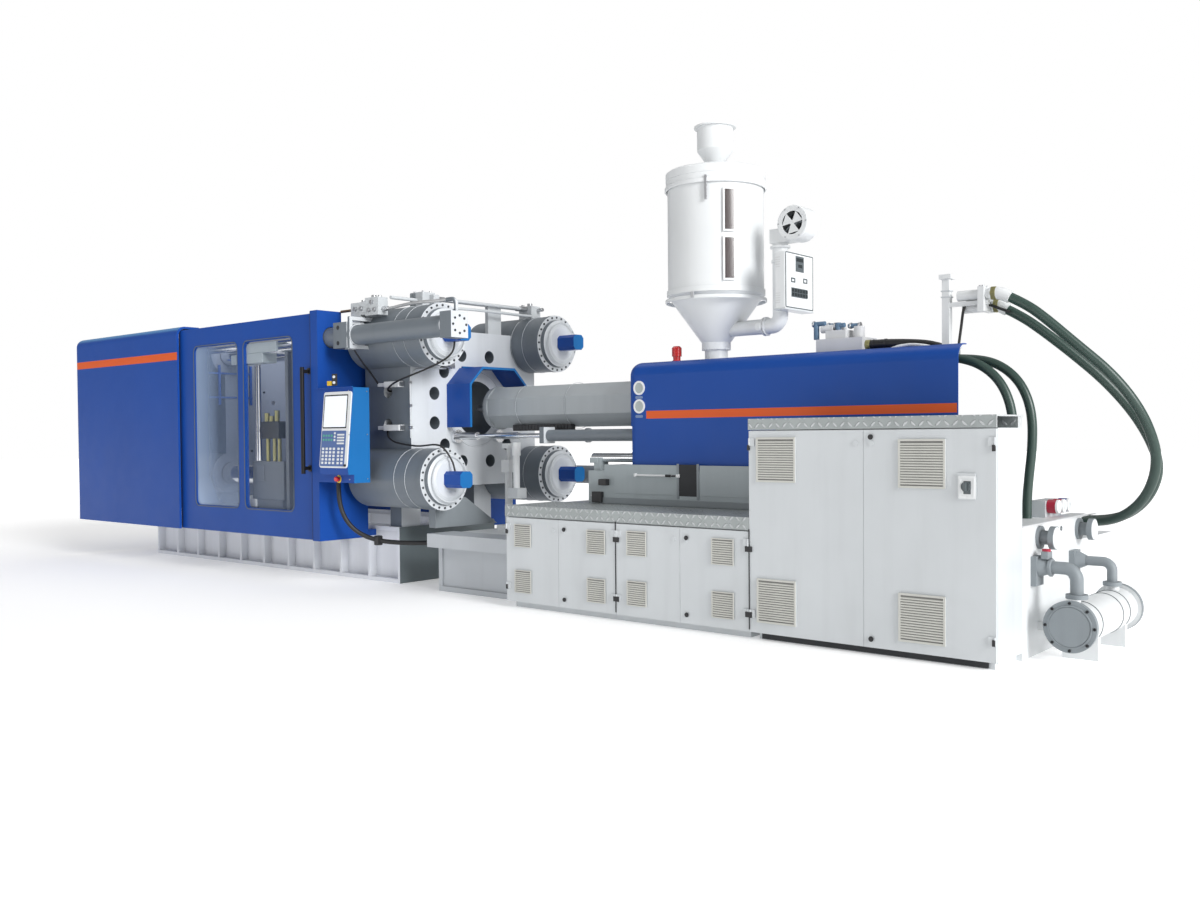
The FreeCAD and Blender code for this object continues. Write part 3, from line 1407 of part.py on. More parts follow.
def make_pull_cylinders():
    """Cylinders that draw the carriage towards the platen, fixed to the legs of its housing."""
    cylinders = []
    for index, side in enumerate((-1, 1)):
        gland = pull_mouth + 40
        points = [
            (pull_mouth, pull_rod + shaft_clearance), (pull_mouth,
                pull_barrel + 14), (pull_mouth + 18, pull_barrel + 14),
            (pull_mouth + 18, pull_barrel), (pull_end, pull_barrel), (pull_end, 0), (pull_end - 20, 0),
            (pull_end - 20, pull_bore), (gland, pull_bore), (gland, pull_rod + shaft_clearance),
        ]
        cylinders.append(lathe("pull_cylinder_%d" % index, "X", (0, pull_side * side, pull_height), points))
    node(group("pull_cylinders", cylinders), "pull_cylinders")


def make_injection_cover():
    """Folded sheet cover with rounded long top edges, cut away round the hopper, bars and cylinders."""
    outer = box("cover_outer", (cover_left, cover_right), (-cover_half, cover_half), (cover_bottom,
        cover_top))

    shell = rounded("cover_rounded", outer, cover_round, hood_edges(cover_left, cover_top))
    wall = cover_half - sheet_wall
    inner_left = cover_left + sheet_wall
    inner_top = cover_top - sheet_wall
    inside = box("cover_inside", (inner_left, cover_right + 1), (-wall, wall), (cover_bottom - 1, inner_top))
    tools = [
        rounded("cover_room", inside, cover_round - sheet_wall, hood_edges(inner_left, inner_top)),
        box("cover_back_open", (cover_back_right, cover_right + 1), (120 - cover_half, cover_half + 1),
            (cover_bottom - 1, cover_top + 1)),
        rod("collar_hole", "Z", hopper_x, 0, (cover_top - 20, cover_top + 1), collar_radius + 34),
        box("manifold_hole", (3690, 4050), (-20, 220), (cover_top - 20, cover_top + 1)),
        rod("shroud_hole", "X", 0, axis_height, (cover_left - 1, cover_left + 20), shroud_radius * 1.12),
        box("bar_notch", (cover_left - 1, cover_left + 66), (3 - wall, wall - 3), (cover_bottom - 1,
            pull_height + 60)),
    ]
    parts = [cut("cover_shell", shell, tools)]
    for side in (-1, 1):
        bracket_y = (-wall, -housing_block_half) if side < 0 else (housing_block_half, wall)
        for start in (housing_block_left + 40, housing_block_right - 80):
            parts.append(box("cover_bracket", (start, start + 40), bracket_y, (cover_top - 150,
                cover_top - 110)))
    node(fuse("injection_cover", parts), "injection_cover")


# ---------------------------------------------------------------- hopper dryer
def make_hopper():
    """Drum with a cone and a collar, open at the top, with two sight windows and an inlet for the duct."""
    wall = hopper_wall
    points = [
        (collar_bottom, 45), (collar_bottom, collar_radius + 30), (collar_bottom + 16, collar_radius + 30),
        (collar_bottom + 16, collar_radius - 20), (collar_top - 50,
            collar_radius - 20), (collar_top - 50, collar_radius),
        (collar_top, collar_radius), (drum_bottom, drum_radius), (drum_top, drum_radius),
        (drum_top, drum_radius - wall), (drum_bottom, drum_radius - wall), (collar_top,
            collar_radius - wall),
        (collar_top - 40, 45),
    ]
    shell = lathe("hopper_shell", "Z", (hopper_x, 0, 0), points)
    rims = [
        lathe("hopper_top_band", "Z", (hopper_x, 0, 0), [
            (drum_top - 40, drum_radius - 1), (drum_top - 40, drum_radius + 10), (drum_top,
                drum_radius + 10),
            (drum_top, drum_radius - 1)]),
        lathe("hopper_low_band", "Z", (hopper_x, 0, 0), [
            (drum_bottom, drum_radius - 1), (drum_bottom, drum_radius + 8), (drum_bottom + 35,
                drum_radius + 8),
            (drum_bottom + 35, drum_radius - 1)]),
    ]
    bore = rod("duct_inlet", "X", 0, duct_height, (hopper_x, hopper_x + drum_radius), duct_radius - 6)
    spigot = rod("duct_spigot", "X", 0, duct_height, (hopper_x + 130, riser_x - 121), duct_radius)
    cone_room = cone("cone_room", "Z", hopper_x, 0, (collar_top, drum_bottom), collar_radius - wall,
        drum_radius - wall)
    inlet = cut("hopper_spigot", spigot, [cone_room, rod("spigot_bore", "X", 0, duct_height,
                (hopper_x + 100, riser_x - 119), duct_radius - 6)])
    node(cut("hopper", fuse("hopper_parts", [shell] + rims + [inlet]), [bore]), "hopper")


def make_hopper_lid():
    """Drum lid with a raised centre and the neck of the loader."""
    points = [
        (drum_top + slide_gap, neck_radius - 6), (drum_top + slide_gap, drum_radius + 12),
        (lid_top - 12, drum_radius + 12), (lid_top, drum_radius - 6), (lid_top, neck_radius),
        (neck_top, neck_radius), (neck_top, neck_radius - 6),
    ]
    cover = lathe("lid_cover", "Z", (hopper_x, 0, 0), points)
    pin_y = drum_radius + 12 + lid_pin * 0.5
    pin = rod("lid_pin", "X", pin_y, drum_top + slide_gap + lid_pin, (hopper_x - 45, hopper_x + 45), lid_pin)
    node(fuse("hopper_lid", [cover, pin]), "hopper_lid")


def make_loader_cup():
    """Open funnel cup that stands on the lid's neck."""
    wall = 4
    points = [
        (neck_top, neck_radius - 6), (neck_top, neck_radius + 4), (cup_shoulder,
            cup_radius), (cup_top - 10, cup_radius),
        (cup_top - 10, cup_rim), (cup_top, cup_rim), (cup_top, cup_radius - wall), (cup_shoulder,
            cup_radius - wall),
        (neck_top + 4, neck_radius - 6),
    ]
    node(lathe("loader_cup", "Z", (hopper_x, 0, 0), points), "loader_cup")


def make_dryer_duct():
    """Hot-air pipe from the hopper cone to the riser, and the blower volute on top."""
    elbow = bent_tube("duct_elbow", [
        (riser_x.value - 120, 0, duct_height.value), (riser_x.value - 40, 0, duct_height.value),
        (riser_x.value, 0, duct_height.value + 40), (riser_x.value, 0, duct_height.value + 130),
    ], duct_radius.value)
    parts = [
        rod("riser", "Z", riser_x, 0, (duct_height + 129, fan_height - 60), duct_radius),
        rod("volute", "Y", fan_x, fan_height, (-70, 70), fan_radius + 6),
        box("volute_throat", (riser_x - 50, fan_x), (-50, 50), (fan_height - 110, fan_height - 20)),
        box("dryer_bracket", (riser_x, dryer_left), (-20, 20), (dryer_bottom + 120, dryer_bottom + 160)),
    ]
    inside = rod("volute_inside", "Y", fan_x, fan_height, (-71, 55), fan_radius - 6)
    bearing = rod("fan_bearing", "Y", fan_x, fan_height, (54, 68), fan_shaft + shaft_clearance)
    node(cut("dryer_duct", fuse("duct_parts", [elbow] + parts), [inside, bearing]), "dryer_duct")


def make_fan():
    """Blower wheel: a hub with a back plate and radial blades."""
    hub = rod("fan_hub", "Y", fan_x, fan_height, (-60, 52), 24)
    shaft = rod("fan_shaft", "Y", fan_x, fan_height, (51, 66), fan_shaft)
    plate = rod("fan_plate", "Y", fan_x, fan_height, (44, 52), fan_radius - 10)
    parts = [hub, shaft, plate]
    for index in range(5):
        blade = box("fan_blade_%d" % index, (20, fan_radius - 10), (-2.5, 2.5), (0, 105))
        turn = ROTATION(VECTOR(0, 0, 1), 72 * index)
        holder = document.addObject("Part::MultiFuse", "fan_blade_turned_%d" % index)
        holder.Shapes = [blade, box("fan_blade_root_%d" % index, (18, 22), (-2.5, 2.5), (0, 105))]
        holder.Placement = FreeCAD.Placement(VECTOR(0, 0, 0), ROTATION(VECTOR(1, 0, 0), 90) * turn)
        bind(holder, Placement__Base__x=fan_x, Placement__Base__y=48, Placement__Base__z=fan_height)
        parts.append(holder)
    node(fuse("fan", parts), "fan")


def make_dryer_control():
    """Dryer's control box on the riser."""
    body = box("dryer_box", (dryer_left, dryer_right), (-dryer_half, dryer_half),
        (dryer_bottom, dryer_top))
    node(rounded("dryer_control", body, as_size(10), lambda a, b: near(a.y, -dryer_half.value)
        and near(b.y, -dryer_half.value)), "dryer_control")


# ---------------------------------------------------------------- fittings on the carriage
def make_valve_manifold():
    """Hydraulic manifold on the crosshead with two cartridge valves and a hose end."""
    base = (collar_bottom, cover_top + 95)
    parts = [
        box("manifold_base", (3709, 4029), (0, 200), (cover_top + 4, base[1])),
        box("manifold_leg", (rear_plate_left, rear_plate_right), (10, 190), (base[0], cover_top + 5)),
        box("manifold_upper", (3760, 3900), (30, 170), (base[1] - 1, cover_top + 150)),
        rod("valve_body_one", "X", 70, cover_top + 165, (3715, 3800), 26),
        rod("valve_body_two", "X", 140, cover_top + 165, (3730, 3840), 26),
        rod("valve_coil", "Z", 3960, 100, (base[1] - 1, cover_top + 170), 34),
    ]
    node(fuse("valve_manifold", parts), "valve_manifold")


def make_beacon():
    """Alarm lamp on a short stem, on the cover."""
    top = cover_top
    points = [(top, 0), (top, 34), (top + 12, 34), (top + 12, 26), (top + 40, 26), (top + 40, 34),
              (top + 100, 34), (top + 112, 22), (top + 112, 0)]
    node(lathe("beacon", "Z", (2655, -60, 0), points), "beacon")


def make_hose_post():
    """Post on the tail beam with a cross arm, two clamped return pipes and their hose ends."""
    base = collar_bottom
    column = fuse("post_frame", [
        box("post_base", (4500, frame_right), (-60, 60), (base, base + 16)),
        box("post_column", (4550, 4594), (-22, 22), (base + 15, 2085)),
        box("post_cap", (4536, 4608), (-34, 34), (2084, 2110)),
        box("post_arm", (4593, 4820), (-18, 18), (1920, 1944)),
        box("pipe_clamp", (4770, 4806), (-45, 125), (1880, 2020)),
    ])
    pipes = [
        rod("post_pipe_one", "X", 0, 1978, (4640, 4830), 30),
        rod("post_pipe_two", "X", 82, 1914, (4640, 4815), 30),
        bent_tube("hose_end_one", [(4829, 0, 1978), (4885, 0, 1978), (4940, 6, 1948)], 36),
        bent_tube("hose_end_two", [(4814, 82, 1914), (4850, 82, 1914), (4895, 88, 1888)], 36),
    ]
    node(fuse("hose_post", [column] + pipes), "hose_post")


def make_return_hoses():
    """Two oil return hoses that hang from the post and swing back to the ports on the side tank."""
    upper = bent_tube("return_hose_upper", [
        (4940, 6, 1948), (5028, 15.6, 1900), (5126, 42, 1815), (5263, 90, 1676), (5438, 170,
            1500), (5560, 260, 1300),
        (5608, 360, 1100), (5595, 423, 973), (5545, 490, 857), (5466, 555, 757), (5357, 608,
            682), (5221, 632, 650),
        (5121, 632, 650),
    ], 28)
    lower = bent_tube("return_hose_lower", [
        (4895, 88, 1888), (4976, 98.8, 1841.2), (5075, 130, 1760), (5210, 178, 1637), (5375, 255, 1470),
        (5505, 345, 1285), (5578, 440, 1105), (5588, 512, 978), (5545, 582, 862), (5466, 649, 762),
        (5357, 702, 687), (5221, 726, 655), (5121, 726, 655),
    ], 28)
    node(group("return_hoses", [upper, lower]), "return_hoses")


def make_feed_hoses():
    """Two pressure hoses from the port under the tail beam down behind the tall cabinet."""
    hoses = []
    for index, y in enumerate((-62, 66)):
        out = 62 * index
        hoses.append(bent_tube("feed_hose_%d" % index, [
            (4500, y, 1625), (4590, y, 1625), (4700 + out, y, 1610), (4805 + out, y,
                1568), (4895 + out, y, 1490),
            (4952 + out, y, 1385), (4979 + out, y, 1260), (4978 + out, y, 1100), (4960 + out, y, 940),
            (4948 + out, y, 800), (4948 + out, y, 700),
        ], 26))
    node(group("feed_hoses", hoses), "feed_hoses")


# ---------------------------------------------------------------- oil cooler and drive
def make_heat_exchanger():
    """Shell-and-tube cooler across the tank's end: shell, bolted end rings and two nozzles on saddles."""
    x, z = exchanger_x, exchanger_height
    shell_start = -exchanger_front
    points = [
        (shell_start, 0), (shell_start, exchanger_flange), (shell_start + 28, exchanger_flange),
        (shell_start + 28, exchanger_radius), (exchanger_back - 28, exchanger_radius),
        (exchanger_back - 28, exchanger_flange), (exchanger_back, exchanger_flange), (exchanger_back, 0),
    ]
    parts = [lathe("cooler_shell", "Y", (x, 0, z), points)]
    for y in (70 - exchanger_front, exchanger_back - 107):
        parts.append(rod("cooler_nozzle", "Z", x, y, (z, z + exchanger_flange), 33))
    for y in (-260, 230):
        parts.append(box("cooler_saddle", (x - 90, x + 90), (y, y + 40), (0, z)))
        parts.append(box("cooler_bracket", (bed_right, x), (y, y + 40), (z - 60, z - 20)))
    node(fuse("heat_exchanger", parts), "heat_exchanger")


def make_cooler_pipework():
    """Suction filter, elbows to the cooler's nozzles and the two tank spools."""
    wall = bed_right
    parts = []
    for y in (-235, 421):
        parts.append(rod("spool", "X", y, 625, (wall, wall + 80), 38))
        parts.append(rod("spool_flange", "X", y, 625, (wall + 62, wall + 90), 62))
        parts.append(rod("spool_root", "X", y, 625, (wall, wall + 14), 62))
    front_y = 117 - exchanger_front
    back_y = exchanger_back - 123
    nozzle_top = exchanger_height + exchanger_flange
    filters = []
    for index, (y, radius) in enumerate(((front_y, 33), (back_y, 27))):
        valve = 477 if index == 0 else 455
        parts.append(box("filter_plate_%d" % index, (wall, wall + 30), (y - 56, y + 56),
            (valve - 100, valve + 56)))
        parts.append(cone("filter_body_%d" % index, "X", y, valve, (wall + 29, wall + 80), 54, radius + 4))
        filters.append(bent_tube("cooler_pipe_%d" % index, [
            (wall.value + 79, y.value, valve), (exchanger_x.value, y.value, valve),
            (exchanger_x.value, y.value, nozzle_top.value + 20),
        ], radius))
        parts.append(rod("nozzle_flange_%d" % index, "Z", exchanger_x, y, (nozzle_top,
            nozzle_top + 22), radius + 22))
    node(fuse("cooler_pipework", parts + filters), "cooler_pipework")


def make_socket_box():
    """Small terminal box with three round power sockets facing along +X."""
    front = bed_right - 102
    parts = [box("socket_case", (front - 88, front), (165, 440), (bed_height, bed_height + 95))]
    for index in range(3):
        parts.append(rod("socket", "X", 215 + 90 * index, bed_height + 62, (front - 1, front + 62), 38))
    node(fuse("socket_box", parts), "socket_box")


def make_pump_motor():
    """Electric motor with its end bell and the pump on the side tank."""
    z = rear_box_height + pump_motor_radius + 25
    y = motor_side
    left = motor_left
    points = [
        (left, 0), (left, pump_motor_radius * 0.5), (left + 90,
            pump_motor_radius * 0.5), (left + 90, pump_motor_radius * 0.65),
        (left + 200, pump_motor_radius * 0.65), (left + 200, pump_motor_radius * 0.9), (left + 240,
            pump_motor_radius * 0.9),
        (left + 240, pump_motor_radius), (left + 760, pump_motor_radius), (left + 760,
            pump_motor_radius * 0.93),
        (left + 860, pump_motor_radius * 0.93), (left + 860, 0),
    ]
    parts = [lathe("motor_body", "X", (0, y, z), points)]
    for x in (left + 300, left + 660):
        foot_y = (y - pump_motor_radius * 0.86, y + pump_motor_radius * 0.86)
        parts.append(box("motor_foot", (x, x + 60), foot_y, (rear_box_height, z)))
    pump_y = (y - pump_motor_radius * 0.5, y + pump_motor_radius * 0.5)
    parts.append(box("pump_block", (left - 120, left + 1), pump_y, (rear_box_height,
        z + pump_motor_radius * 0.5)))
    node(fuse("pump_motor", parts), "pump_motor")


# ---------------------------------------------------------------- build, check and write
def build_machine():
    make_clamp_base()
    make_fixed_platen()
    make_tie_bars()
    make_lock_covers()
    make_sensor_caps()
    make_moving_platen()
    make_traverse_rods()
    make_nut_jaws("nut_jaws_front", -1)
    make_nut_jaws("nut_jaws_rear", 1)
    make_ejector()
    make_left_cover()
    make_operator_door()
    make_rear_door()
    make_door_windows()
    make_guard_post()
    make_rear_guard()
    make_control_box()
    make_e_stop()
    make_traverse_cylinders()
    make_platen_manifold()
    make_purge_hood()
    make_clamp_cords()
    make_bed()
    make_front_step()
    make_cabinets()
    make_cabinet_doors()
    make_main_switch()
    make_tread_plates()
    make_unit_frame()
    make_guide_bars()
    make_pull_rods()
    make_barrel_support()
    make_barrel()
    make_screw()
    make_barrel_cover()
    make_carriage_housing()
    make_injection_cylinders()
    make_ram()
    make_pull_cylinders()
    make_injection_cover()
    make_hopper()
    make_hopper_lid()
    make_loader_cup()
    make_dryer_duct()
    make_fan()
    make_dryer_control()
    make_valve_manifold()
    make_beacon()
    make_hose_post()
    make_return_hoses()
    make_feed_hoses()
    make_heat_exchanger()
    make_cooler_pipework()
    make_socket_box()
    make_pump_motor()


def check_document():
    """Stop before writing if any object failed or any sub-part's shape is unsound."""
    document.recompute()
    for item in document.Objects:
        if "Invalid" in item.State or "Error" in item.State:
            raise RuntimeError("%s failed: %s" % (item.Label, item.State))
    for item in nodes:
        if item.Shape.isNull() or not item.Shape.isValid():
            raise RuntimeError("%s has an unsound shape" % item.Label)
        if not item.Shape.Solids:
            raise RuntimeError("%s has no solid" % item.Label)


def write_parts():
    os.makedirs("parts", exist_ok=True)
    for item in nodes:
        item.Shape.exportStep("parts/%s.step" % item.Label)
    print("%d sub-parts written" % len(nodes))


build_machine()
check_document()
write_parts()
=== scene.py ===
import bpy
import bmesh
import math
import numpy as np
from mathutils import Matrix, Vector


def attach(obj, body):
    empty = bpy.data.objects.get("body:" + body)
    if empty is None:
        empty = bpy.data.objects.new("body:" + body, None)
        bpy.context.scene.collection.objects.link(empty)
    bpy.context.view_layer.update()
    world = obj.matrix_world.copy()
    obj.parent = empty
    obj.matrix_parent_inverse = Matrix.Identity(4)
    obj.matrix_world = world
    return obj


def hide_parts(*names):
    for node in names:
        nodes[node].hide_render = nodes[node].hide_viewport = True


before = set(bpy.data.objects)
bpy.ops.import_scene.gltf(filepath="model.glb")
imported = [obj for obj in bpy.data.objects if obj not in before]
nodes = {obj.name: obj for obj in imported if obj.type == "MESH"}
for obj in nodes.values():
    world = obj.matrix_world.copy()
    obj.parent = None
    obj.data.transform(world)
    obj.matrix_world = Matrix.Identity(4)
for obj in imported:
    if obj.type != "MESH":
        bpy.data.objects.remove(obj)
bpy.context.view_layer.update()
scene = bpy.context.scene

# Places that several pieces share, in millimetres in the row frame.
AXIS = 1415                # height of the screw and of the platens' middle
PLATEN_BACK = 559          # face of the fixed platen on the injection side
BAR_SIDE, BAR_RISE = 637, 550    # tie bars from the middle, sideways and up
TRAVERSE = (-955, 1980)    # front traverse cylinder: y, z
OIL_PIPE = (60, 1738)     # oil pipe behind the valves: y, z
DRUM_X, DRUM_RADIUS = 2945, 336.5
BLOWER = (3583, 2535)      # dryer's blower: x, z
COOLER = (5397, 192)       # cooler's axis: x, z
MM = 0.001                 # metres in a millimetre


# ---------------------------------------------------------------- shapes, in millimetres in the row frame
def spot(axis, along, first, second):
    """Point at a distance along an axis, with the two other row coordinates in X, Y, Z order."""
    along, first, second = np.broadcast_arrays(along, first, second)
    order = {"X": (along, first, second), "Y": (first, along, second), "Z": (first, second, along)}[axis]
    return np.stack(order, axis=-1).reshape(-1, 3).astype(float)


def block(x, y, z):
    """Box: the eight corners of three spans."""
    verts = [(a, b, c) for c in z for b in y for a in x]
    faces = [(0, 2, 3, 1), (4, 5, 7, 6), (0, 1, 5, 4), (2, 6, 7, 3), (0, 4, 6, 2), (1, 3, 7, 5)]
    return np.array(verts, float), faces


def strips(count, sides, sections):
    """Quads between neighbouring closed sections; with as many strips as sections, the last meets the first."""
    row, near = np.divmod(np.arange(count * sides), sides)
    far = (near + 1) % sides
    low, high = row * sides, (row + 1) % sections * sides
    return np.stack([low + near, low + far, high + far, high + near], axis=1).tolist()


def ends(sides, sections):
    """The two end faces of a surface closed round."""
    return [list(range(sides))[::-1], list(range((sections - 1) * sides, sections * sides))]


def revolve(axis, first, second, profile, sides=32):
    """Turned surface: p(h, t) = centre + h axis + r(h) (cos t, sin t), closed by end faces where r > 0."""
    turn = np.linspace(0, 2 * math.pi, sides, endpoint=False)
    h, r = np.array(profile, float).T[:, :, None]
    verts = spot(axis, h, first + r * np.cos(turn), second + r * np.sin(turn))
    return verts, strips(len(profile) - 1, sides, len(profile)) + ends(sides, len(profile))


def ring(axis, first, second, profile, sides=48):
    """Turned ring: the same surface with the profile closed on itself and no end faces."""
    verts, faces = revolve(axis, first, second, list(profile) + [profile[0]], sides)
    return verts, faces[:-2]


def rod(axis, first, second, span, radius, sides=24):
    """Cylinder: the turned surface of a constant radius over a span of the axis."""
    return revolve(axis, first, second, [(span[0], radius), (span[1], radius)], sides)


def extrude(axis, outline, span):
    """Prism: an outline in the two other row axes, swept along one axis."""
    a = np.array(outline, float)
    verts = np.vstack([spot(axis, s, a[:, 0], a[:, 1]) for s in span])
    return verts, strips(1, len(a), 2) + ends(len(a), 2)


def soft(first, second, radius, steps=6):
    """Rectangle with round corners: centre of each corner + r (cos t, sin t), t over its quarter turn."""
    turn = math.pi / 2 * (np.arange(4)[:, None] + np.arange(steps + 1) / steps)
    x = np.array([first[1] - radius, first[0] + radius, first[0] + radius, first[1] - radius])[:, None]
    z = np.array([second[1] - radius, second[1] - radius, second[0] + radius, second[0] + radius])[:, None]
    return np.stack([x + radius * np.cos(turn), z + radius * np.sin(turn)], axis=-1).reshape(-1, 2)


def window_frame(axis, first, second, radius, width, span):
    """Flat frame: the surface between a round-cornered outline and the same outline drawn in by a width."""
    outer = soft(first, second, radius)
    inner = soft((first[0] + width, first[1] - width), (second[0] + width, second[1] - width),
        max(radius - width, 1))
    loops = [spot(axis, s, o[:, 0], o[:, 1]) for s, o in
             ((span[0], outer), (span[1], outer), (span[1], inner), (span[0], inner))]
    return np.vstack(loops), strips(4, len(outer), 4)


def smooth_route(points, steps=6):
    """Catmull-Rom curve p(t) through the points of a route, t from 0 to 1 between two of them."""
    p = np.array(points, float)
    p = np.vstack([2 * p[0] - p[1], p, 2 * p[-1] - p[-2]])
    a, b, c, d = (p[k:len(p) - 3 + k, None] for k in range(4))
    t = (np.arange(steps) / steps)[:, None]
    curve = 0.5 * (2 * b + (c - a) * t + (2 * a - 5 * b + 4 * c - d) * t * t
        + (3 * b - a - 3 * c + d) * t ** 3)
    return np.vstack([curve.reshape(-1, 3), p[-2]])


def tube(points, radius, sides=12, steps=6):
    """Pipe: p(s, t) = c(s) + r (cos t N(s) + sin t B(s)), with N carried along the curve without twist."""
    c = smooth_route(points, steps) if len(points) > 2 else np.array(points, float)
    tangent = np.gradient(c, axis=0)
    tangent /= np.linalg.norm(tangent, axis=1)[:, None]
    normal = np.cross(tangent[0], (0.3, 0.2, 0.93))    # any start that the pipes don't run along
    turn = np.linspace(0, 2 * math.pi, sides, endpoint=False)
    rings = []
    for place, along in zip(c, tangent):
        normal = normal - along * normal.dot(along)
        normal /= np.linalg.norm(normal)
        other = np.cross(along, normal)
        rings.append(place + radius * (np.outer(np.cos(turn), normal) + np.outer(np.sin(turn), other)))
    return np.vstack(rings), strips(len(c) - 1, sides, len(c)) + ends(sides, len(c))


def bolt(axis, first, second, base, radius, height):
    """Cap screw standing on a face: a head with a rounded rim and a round socket."""
    step = math.copysign(1, height)
    reach = abs(height)
    return revolve(axis, first, second, [
        (base, radius), (base + step * (reach - radius * 0.15), radius), (base + step * reach, radius * 0.85),
        (base + step * reach, radius * 0.5), (base + step * reach * 0.4, radius * 0.48)], 12)


def bolt_ring(axis, first, second, base, circle, count, radius, height, start=0.0):
    """Cap screws evenly spaced on a circle."""
    turn = [start + 2 * math.pi * k / count for k in range(count)]
    return [bolt(axis, first + circle * math.cos(a), second + circle * math.sin(a), base, radius, height)
        for a in turn]


def piece(name, shapes, material, body, bevel=0.0, sharp=35):
    """One object from closed shapes, in metres, with normals turned outward and edges softened."""
    verts, faces, start = [], [], 0
    for v, f in shapes:
        verts.append(v * MM)
        faces += [tuple(i + start for i in face) for face in f]
        start += len(v)
    mesh = bpy.data.meshes.new(name)
    mesh.from_pydata(np.vstack(verts).tolist(), [], faces)
    work = bmesh.new()
    work.from_mesh(mesh)
    bmesh.ops.recalc_face_normals(work, faces=work.faces)
    work.to_mesh(mesh)
    work.free()
    mesh.polygons.foreach_set("use_smooth", [True] * len(mesh.polygons))
    mesh.set_sharp_from_angle(angle=math.radians(sharp))
    mesh.materials.append(material)
    item = bpy.data.objects.new(name, mesh)
    scene.collection.objects.link(item)
    soften(item, bevel)
    if body:
        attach(item, body)
    return item


def soften(item, width):
    """Rounds the sharp edges of an object by a width in millimetres."""
    if width:
        edge = item.modifiers.new("soft edges", "BEVEL")
        edge.width = width * MM
        edge.segments = 2
        edge.limit_method = "ANGLE"
        edge.angle_limit = math.radians(40)
        edge.harden_normals = True


# ---------------------------------------------------------------- shader helpers
def add(tree, kind, sockets=None, **settings):
    """A node with its settings; a socket value is linked if it is a socket, and else set."""
    item = tree.nodes.new(kind)
    for key, value in settings.items():
        setattr(item, key, value)
    for key, value in (sockets or {}).items():
        if isinstance(value, bpy.types.NodeSocket):
            tree.links.new(value, item.inputs[key])
        else:
            item.inputs[key].default_value = value
    return item


def calc(tree, operation, a, b=0.0, c=0.0):
    """Math node: its result for two values, or three where the operation takes them."""
    sockets = {0: a, 1: b, 2: c} if operation in ("MULTIPLY_ADD", "COMPARE") else {0: a, 1: b}
    return add(tree, "ShaderNodeMath", sockets, operation=operation).outputs[0]


def mix(tree, factor, a, b):
    """Colour between a and b by a factor; each is a socket or three numbers."""
    item = add(tree, "ShaderNodeMix", {0: factor}, data_type="RGBA")
    for key, value in ((6, a), (7, b)):
        if isinstance(value, bpy.types.NodeSocket):
            tree.links.new(value, item.inputs[key])
        else:
            item.inputs[key].default_value = (*value, 1)
    return item.outputs[2]


def noise(tree, vector, scale, detail=3.0, rough=0.55):
    """Even noise from 0 to 1."""
    sockets = {"Vector": vector, "Scale": scale, "Detail": detail, "Roughness": rough}
    return add(tree, "ShaderNodeTexNoise", sockets).outputs["Fac"]


def spread(tree, value, low, high, to_low, to_high):
    """Value mapped from one range to another and held at its ends."""
    sockets = {0: value, 1: low, 2: high, 3: to_low, 4: to_high}
    return add(tree, "ShaderNodeMapRange", sockets).outputs[0]


def within(tree, value, low, high, edge=0.0006):
    """1 where a value lies between two limits, with a thin soft edge."""
    rise = spread(tree, value, low - edge, low + edge, 0.0, 1.0)
    fall = spread(tree, value, high - edge, high + edge, 1.0, 0.0)
    return calc(tree, "MULTIPLY", rise, fall)


def group(name, inputs, outputs):
    """Empty shader group with named sockets."""
    tree = bpy.data.node_groups.new(name, "ShaderNodeTree")
    for label, kind, default in inputs:
        socket = tree.interface.new_socket(label, in_out="INPUT", socket_type=kind)
        socket.default_value = default
    for label, kind in outputs:
        tree.interface.new_socket(label, in_out="OUTPUT", socket_type=kind)
    return tree, tree.nodes.new("NodeGroupInput"), tree.nodes.new("NodeGroupOutput")


COLOR, FLOAT, VECTOR = "NodeSocketColor", "NodeSocketFloat", "NodeSocketVector"


